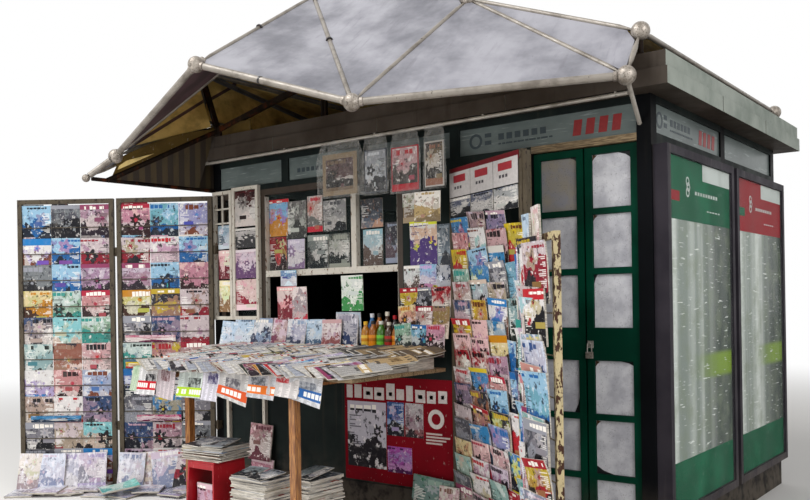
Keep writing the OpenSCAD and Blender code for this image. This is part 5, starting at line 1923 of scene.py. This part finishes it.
@dataclass
class DoubleDoor:
    """Two green glazed leaves, their hinges, hasp and padlock."""

    left_x: float = 1.046
    right_x: float = 1.366
    lock_y: float = -1.192
    lock_z: float = 1.15
    green: SprayedSteel = SprayedSteel("dark_green_door_enamel", "#07412f", "#052f22", "#1f3a30", 0.3, 0.4, 0.4)

    def build(self) -> None:
        """Dresses the leaves and adds papers, hasp and padlock."""
        # Nearly opaque dark grey glass in the door panes.
        glass = FloatGlass("dark_door_glass", 0.92, "#26282a")
        for name in ("door_left", "door_right"):
            dress(name, self.green, 2.0)
            dress(f"{name}_panes", glass)
        dress("door_hinges", SprayedSteel("painted_hinge_steel", "#1d3d33", "#15302a", "#4a3a2c", rust=0.4), 1.0)
        DoorLeaf(self.left_x, "left_leaf", "door_left", 3).build()
        DoorLeaf(self.right_x, "right_leaf", "door_right", 5).build()
        self.lock()

    def lock(self) -> None:
        """Hasp on the right leaf with a padlock that hangs from its staple."""
        brass = CastAlloy("tarnished_padlock_body")
        steel = DrawnTube("rubbed_shackle_steel", "#a9a59d", rough=0.3)
        pad = Pad("padlock")
        x, y, z = self.right_x + 0.018, self.lock_y, self.lock_z
        pad.box(HERE, (x - 0.014, -1.184, z - 0.02), (x + 0.02, -1.18, z + 0.02), steel)
        for dx in (-0.013, 0.013):
            pad.rod((x + dx, y, z - 0.045), (x + dx, y, z - 0.005), 0.0032, steel)
        last = Vector((x - 0.013, y, z - 0.005))
        for i in range(1, 9):
            angle = pi * i / 8
            here = Vector((x - 0.013 * cos(angle), y, z - 0.005 + 0.013 * sin(angle)))
            pad.rod(last, here, 0.0032, steel)
            last = here
        pad.box(HERE, (x - 0.021, -1.2, z - 0.078), (x + 0.021, -1.184, z - 0.042), brass)
        pad.build("right_leaf", bevel_mm=1.5)


@dataclass
class LightBoxes:
    """Two shallow poster cases on the right flank: printed fields behind glass."""

    starts: Spot = (-1.18, 0.02)
    length: float = 1.14
    bar: float = 0.046
    foot: float = 0.256
    head: float = 2.174
    face: float = 1.822

    def field(self, pad: Pad, y0: float, y1: float, z0: float, z1: float, finish: Finish, lift: float = 0.0) -> None:
        """One printed area of the sheet."""
        pad.box(HERE, (self.face - 0.0025 + lift, y0, z0), (self.face + lift, y1, z1), finish)

    def build(self) -> None:
        """Dresses the cases and prints their sheets."""
        case = SprayedSteel("plum_grey_case_steel", "#3a363c", "#2d2a30", "#6d6660", 0.25, 0.4)
        dress("light_boxes", case, 3.0)
        dress("light_box_glass", FloatGlass("poster_case_glass", 0.02, "#b9c6c2"))
        green = InkedSheet("green_translucent_vinyl", "#065236", "#146a49", 0.4)
        red = InkedSheet("red_translucent_vinyl", "#961420", "#7e262b", 0.4)
        white = InkedSheet("white_translucent_vinyl", "#c9d0cc", "#a9b0aa", 0.4)
        frosted = FrostedSheet("frosted_diffuser")
        pad = Pad("light_box_prints")
        for index, start in enumerate(self.starts):
            y0, y1 = start + self.bar + 0.001, start + self.length - self.bar - 0.001
            top = red if index else green
            self.field(pad, y0, y1, 1.83, self.head - 0.001, top)
            self.field(pad, y0, y1, 0.51, 1.83, frosted, -0.001)
            self.field(pad, y0, y1, self.foot + 0.001, 0.51, green)
            self.field(pad, y0 + 0.55, y1, 2.075, self.head - 0.002, white, 0.0008)
            self.field(pad, y0, y0 + 0.17, 1.93, 1.985, red if not index else green, 0.0008)
            mark = move(self.face + 0.0004, y0 + 0.3, 2.05) @ spin("Y", 90)
            for ring in range(3):
                pad.turned(
                    mark @ move(0.03 * ring, 0.012 * (ring % 2), 0),
                    [(0.018, 0), (0.027, 0), (0.027, 0.0006), (0.018, 0.0006), (0.018, 0)], white, 20,
                )
            for i in range(9):
                self.field(pad, y0 + 0.42 + i * 0.045, y0 + 0.448 + i * 0.045, 1.985, 2.005, white, 0.0006)
            for i in range(5):
                self.field(pad, y0 + 0.62 + i * 0.05, y0 + 0.65 + i * 0.05, 1.9, 1.908, white, 0.0006)
        pad.build()


@dataclass
class WallPoster:
    """Poster on the lower wall under the table: red ground, white blocks and a bloom, generic."""

    x0: float = -0.43
    x1: float = 0.46
    z0: float = 0.21
    z1: float = 0.91
    y: float = -1.2005

    def build(self) -> None:
        """Makes the poster: uneven title blocks, a large and three small picture fields, bars, a ring."""
        pad = Pad("wall_poster", 8)
        rng = pad.rng

        def block(x0: float, x1: float, z0: float, z1: float, code: str) -> None:
            """Prints a plain field."""
            pad.ink = plain(code)
            pad.box(HERE, (x0, self.y - 0.002, z0), (x1, self.y - 0.0012, z1), DARK_PRINT)

        red = InkedSheet("red_poster_paper", "#7c121d", "#68141c", 0.35)
        pad.box(HERE, (self.x0, self.y - 0.0012, self.z0), (self.x1, self.y, self.z1), red)
        fields = (
            (-0.405, 0.3, 0.335, 0.44, Palette("#cfc8d2 #17131a #b8b0bc")),
            (-0.06, 0.53, 0.14, 0.22, Palette("#2a4f86 #14161e #8fa0c0")),
            (0.09, 0.53, 0.145, 0.22, Palette("#b5aeb0 #2a2226 #8c5a5c")),
            (-0.06, 0.29, 0.2, 0.17, Palette("#9c4a98 #4a1a4c #c88fc4")),
        )
        for x, z, wide, high, inks in fields:
            Card(wide, high, 0.001, 0.0, 0.0).lay(pad, upright(x, self.y - 0.0014, z), (inks,))
        x = -0.41
        while x < 0.36:
            wide, low = rng.uniform(0.05, 0.085), rng.uniform(0.745, 0.77)
            block(x, x + wide, low, rng.uniform(0.83, 0.875), "#d2c8c4")
            if wide > 0.065:
                block(x + 0.022, x + wide - 0.022, low + 0.025, low + 0.05, "#8c1420")
            x += wide + rng.uniform(0.012, 0.02)
        ring = move(0.335, self.y - 0.0012, 0.66) @ spin("X", 90)
        pad.ink = plain("#d8cfca")
        pad.turned(ring, [(0.035, 0), (0.062, 0), (0.062, 0.0012), (0.035, 0.0012), (0.035, 0)], DARK_PRINT, 28)
        for i in range(4):
            block(0.255, 0.38 + 0.03 * (i % 3), 0.5 + i * 0.02, 0.511 + i * 0.02, "#c8b8b2")
        pad.build()


@dataclass
class Canopy:
    """Folded canopy of tubes between ball nodes, smoked panels, ochre lining and dark rusty beams."""

    eave_r: float = 0.021
    balls: tuple[Point, ...] = (
        (1.76, -1.51, 2.52), (0.445, -2.09, 2.485), (-1.725, -2.09, 2.445), (-0.64, -2.26, 2.85),
    )
    tip: Point = (-1.821, -2.26, 2.285)
    peak: Point = (-0.64, -1.225, 3.54)

    def toward(self, a: Sequence[float], b: Sequence[float], run: float) -> Vector:
        """Point at run metres from a toward b."""
        step = Vector(b) - Vector(a)
        return Vector(a) + step * (run / step.length)

    def build(self) -> None:
        """Dresses the canopy and adds collars, bolts, sockets and ties."""
        tube = DrawnTube("silver_painted_tube")
        dress("canopy_tubes", tube)
        dress("canopy_balls", CastAlloy("cast_ball_nodes"))
        dress("canopy_panels", TwinWallSheet("smoked_twin_wall_sheet"), 1.0)
        # Plane of the bay that the lining draws plum brown as painted shade.
        a, b, c = (Vector(p) for p in (self.balls[2], self.balls[3], self.peak))
        normal = (b - a).cross(c - a).normalized()
        plane = (*normal, normal.dot(a))
        ribbed = StripedSheet("ribbed_side_sheet")
        dress("canopy_lining", CanopyLining("ochre_lining_sheet", plane))
        dress("canopy_side", ribbed)
        self.flaps(ribbed)
        dress("canopy_beams", DARK_STEEL, 2.0)
        self.joints(tube)

    def flaps(self, ribbed: Finish) -> None:
        """Lining that closes the slit over the tip's beam, and the last rib of the side sheet at the hut.

        Args:
            ribbed: Finish of the side sheet.
        """
        pad = Pad("canopy_flaps")
        # Painted shade: the hem and the strip at the bracket are drawn in dark browns, far darker than the lining.
        hem = InkedSheet("lining_hem_painted_shade", "#5c4a26", "#43361f", 0.6)
        corner, foot, end = (Vector(p) for p in ((-1.7, -2.07, 2.435), (-1.8, -2.07, 2.315), (-1.545, -1.33, 2.72)))

        def sheet(u: float, v: float, lift: float) -> Vector:
            """Point of a flap."""
            near = foot.lerp(corner, v)
            return near.lerp(end, u) + Vector((0, 0, lift + 0.045 * v * sin(pi * u)))

        pad.slab(lambda u, v: sheet(u, v, 0.0), lambda u, v: sheet(u, v, 0.003), (hem, hem, hem), 10, 3)
        pad.box(HERE, (-1.67, -1.318, 2.66), (-1.2, -1.314, 2.75), hem)
        pad.box(HERE, (-1.785, -1.206, 2.28), (-1.752, -1.202, 2.5), ribbed)
        pad.box(HERE, (-1.768, -1.368, 2.29), (-1.763, -1.204, 2.486), ribbed)
        pad.build()

    def joints(self, tube: Finish) -> None:
        """Collars where tubes enter the balls, bolt heads on the balls and dark tape ties.

        Args:
            tube: Finish of the tubes.
        """
        cast = CastAlloy("cast_ball_nodes")
        tape = MouldedPlastic("black_tape", "#2b2626", "#1c1818")
        pad = Pad("canopy_collars")
        corner, low_right, low_left, mid = self.balls
        for a, b in ((corner, low_right), (low_right, mid), (mid, low_left), (mid, self.peak), (low_right, self.peak)):
            for start, end in ((a, b), (b, a)):
                if start == self.peak:
                    continue
                pad.rod(self.toward(start, end, 0.046), self.toward(start, end, 0.064), self.eave_r + 0.004, cast, 16)
        for a, b, run in ((mid, self.peak, 0.62), (low_right, self.peak, 0.9), (mid, low_right, 0.5)):
            pad.rod(self.toward(a, b, run), self.toward(a, b, run + 0.012), self.eave_r + 0.003, tape, 12)
        for ball in self.balls:
            place = move(*ball) @ spin("X", 105)
            pad.turned(place, [(0.012, 0.045), (0.012, 0.052), (0.009, 0.055), (0, 0.0555)], tube, 6)
        pad.build(bevel_mm=0.0)


@dataclass
class HangingRail:
    """Pipe under the eaves with wire hooks that the bags hang from."""

    y: float = -1.339
    z: float = 2.474
    radius: float = 0.011
    hooks: tuple[float, ...] = (-0.42, -0.17, -0.03, 0.06, 0.18, 0.31, 0.43, 0.52)

    def build(self) -> None:
        """Dresses the pipe and bends a hook over it at each place."""
        dress("hanging_rail", DrawnTube("galvanised_pipe", "#a9a39a", rough=0.42))
        wire = DrawnTube("hook_wire", "#8f8b84", rough=0.35)
        pad = Pad("rail_hooks")
        reach = self.radius + 0.0012
        for x in self.hooks:
            last = None
            for i in range(9):
                angle = radians(-40 + i * 32.5)
                here = Vector((x, self.y - reach * cos(angle), self.z + reach * sin(angle)))
                if last is not None:
                    pad.rod(last, here, 0.0012, wire, 6)
                last = here
        pad.build()


@dataclass
class Studio:
    """Pale floor, white surround, soft lamps and the camera at the photograph's place.

    Its heading is in degrees from +Y toward -X, its focal length in pixels, its shift a share of the width, and
    sky is the strength of the surround as a light.
    """

    eye: Point = (3.502, -5.626, 1.4)
    heading: float = 37.539
    roll: float = 0.912
    focal: float = 863.67
    frame_px: float = 810.0
    sensor_mm: float = 36.0
    shift: float = 0.0647
    sky: float = 0.5

    def surround(self) -> None:
        """World that lights softly and shows white to the camera and in glass and metal."""
        world = bpy.data.worlds.new("studio_surround")
        add = empty_tree(world)
        seen = add("LightPath", out="Is Camera Ray")
        for kind in ("Is Glossy Ray", "Is Transmission Ray"):
            seen = add("max", seen, add("LightPath", out=kind))
        strength = add("MapRange", seen, 0.0, 1.0, self.sky, 1.0)
        add("OutputWorld", add("Background", "#ffffff", strength))
        bpy.context.scene.world = world

    def floor(self) -> None:
        """Pale floor that runs out to white far from the kiosk."""
        mesh = bpy.data.meshes.new("studio_floor")
        size = 60.0
        mesh.from_pydata([(-size, -size, 0), (size, -size, 0), (size, size, 0), (-size, size, 0)], [], [(0, 1, 2, 3)])
        plane = in_scene("studio_floor", mesh)
        made = bpy.data.materials.new("pale_studio_floor")
        add = empty_tree(made)
        away = add("VectorMath.LENGTH", add("TexCoord", out="Object"), out="Value")
        seen = add("*", add("ramp", away, 4.0, 14.0), add("LightPath", out="Is Camera Ray"))
        white = add("MixShader", seen, add("BsdfDiffuse", "#e2e0dd"), add("Emission", "#ffffff", 1.0))
        add("OutputMaterial", white)
        mesh.materials.append(made)

    def lamp(self, name: str, place: Sequence[float], aim: Sequence[float], power: float, size: float) -> None:
        """One square soft lamp.

        Args:
            name: Its name.
            place: Where it is.
            aim: Where it points.
            power: Watts.
            size: Edge in metres.
        """
        light = bpy.data.lights.new(name, "AREA")
        light.energy, light.size = power, size
        made = in_scene(name, light)
        turn = (Vector(aim) - Vector(place)).to_track_quat("-Z", "Y")
        made.location, made.rotation_euler = place, turn.to_euler()

    def camera(self) -> None:
        """Camera at the photograph's viewing angle."""
        data = bpy.data.cameras.new("photo_camera")
        data.sensor_width = self.sensor_mm
        data.lens = self.focal / self.frame_px * self.sensor_mm
        data.shift_y = self.shift
        data.clip_end = 200
        made = in_scene("photo_camera", data)
        made.location = self.eye
        made.rotation_euler = (radians(90), radians(self.roll), radians(self.heading))
        bpy.context.scene.camera = made

    def build(self) -> None:
        """Sets the scene up."""
        self.surround()
        self.floor()
        self.lamp("key_softbox", (-3.5, -7.5, 9.5), (0, -1.2, 1.2), 890, 6.0)
        self.lamp("low_softbox", (-1.5, -7.0, 0.7), (-1.0, -1.6, 2.3), 95, 3.0)
        self.lamp("fill_softbox", (9.0, -5.0, 5.0), (0.5, 0, 1.2), 320, 5.0)
        self.camera()
        bpy.context.scene.view_settings.view_transform = "Standard"


def main() -> None:
    """Builds the kiosk's looks in order."""
    logging.basicConfig(level=logging.INFO, format="%(message)s")
    racks = Racks()
    parts = (
        Studio(), HutShell(), SignBand(), ServingWindow(), DoubleDoor(), LightBoxes(), racks, WindowDisplay(),
        TableTop(), WallPoster(), Drinks(), GroundStock(racks.left_racks()), Canopy(), HangingRail(), HangingBags(),
    )
    for part in parts:
        part.build()


if __name__ == "__main__":
    main()
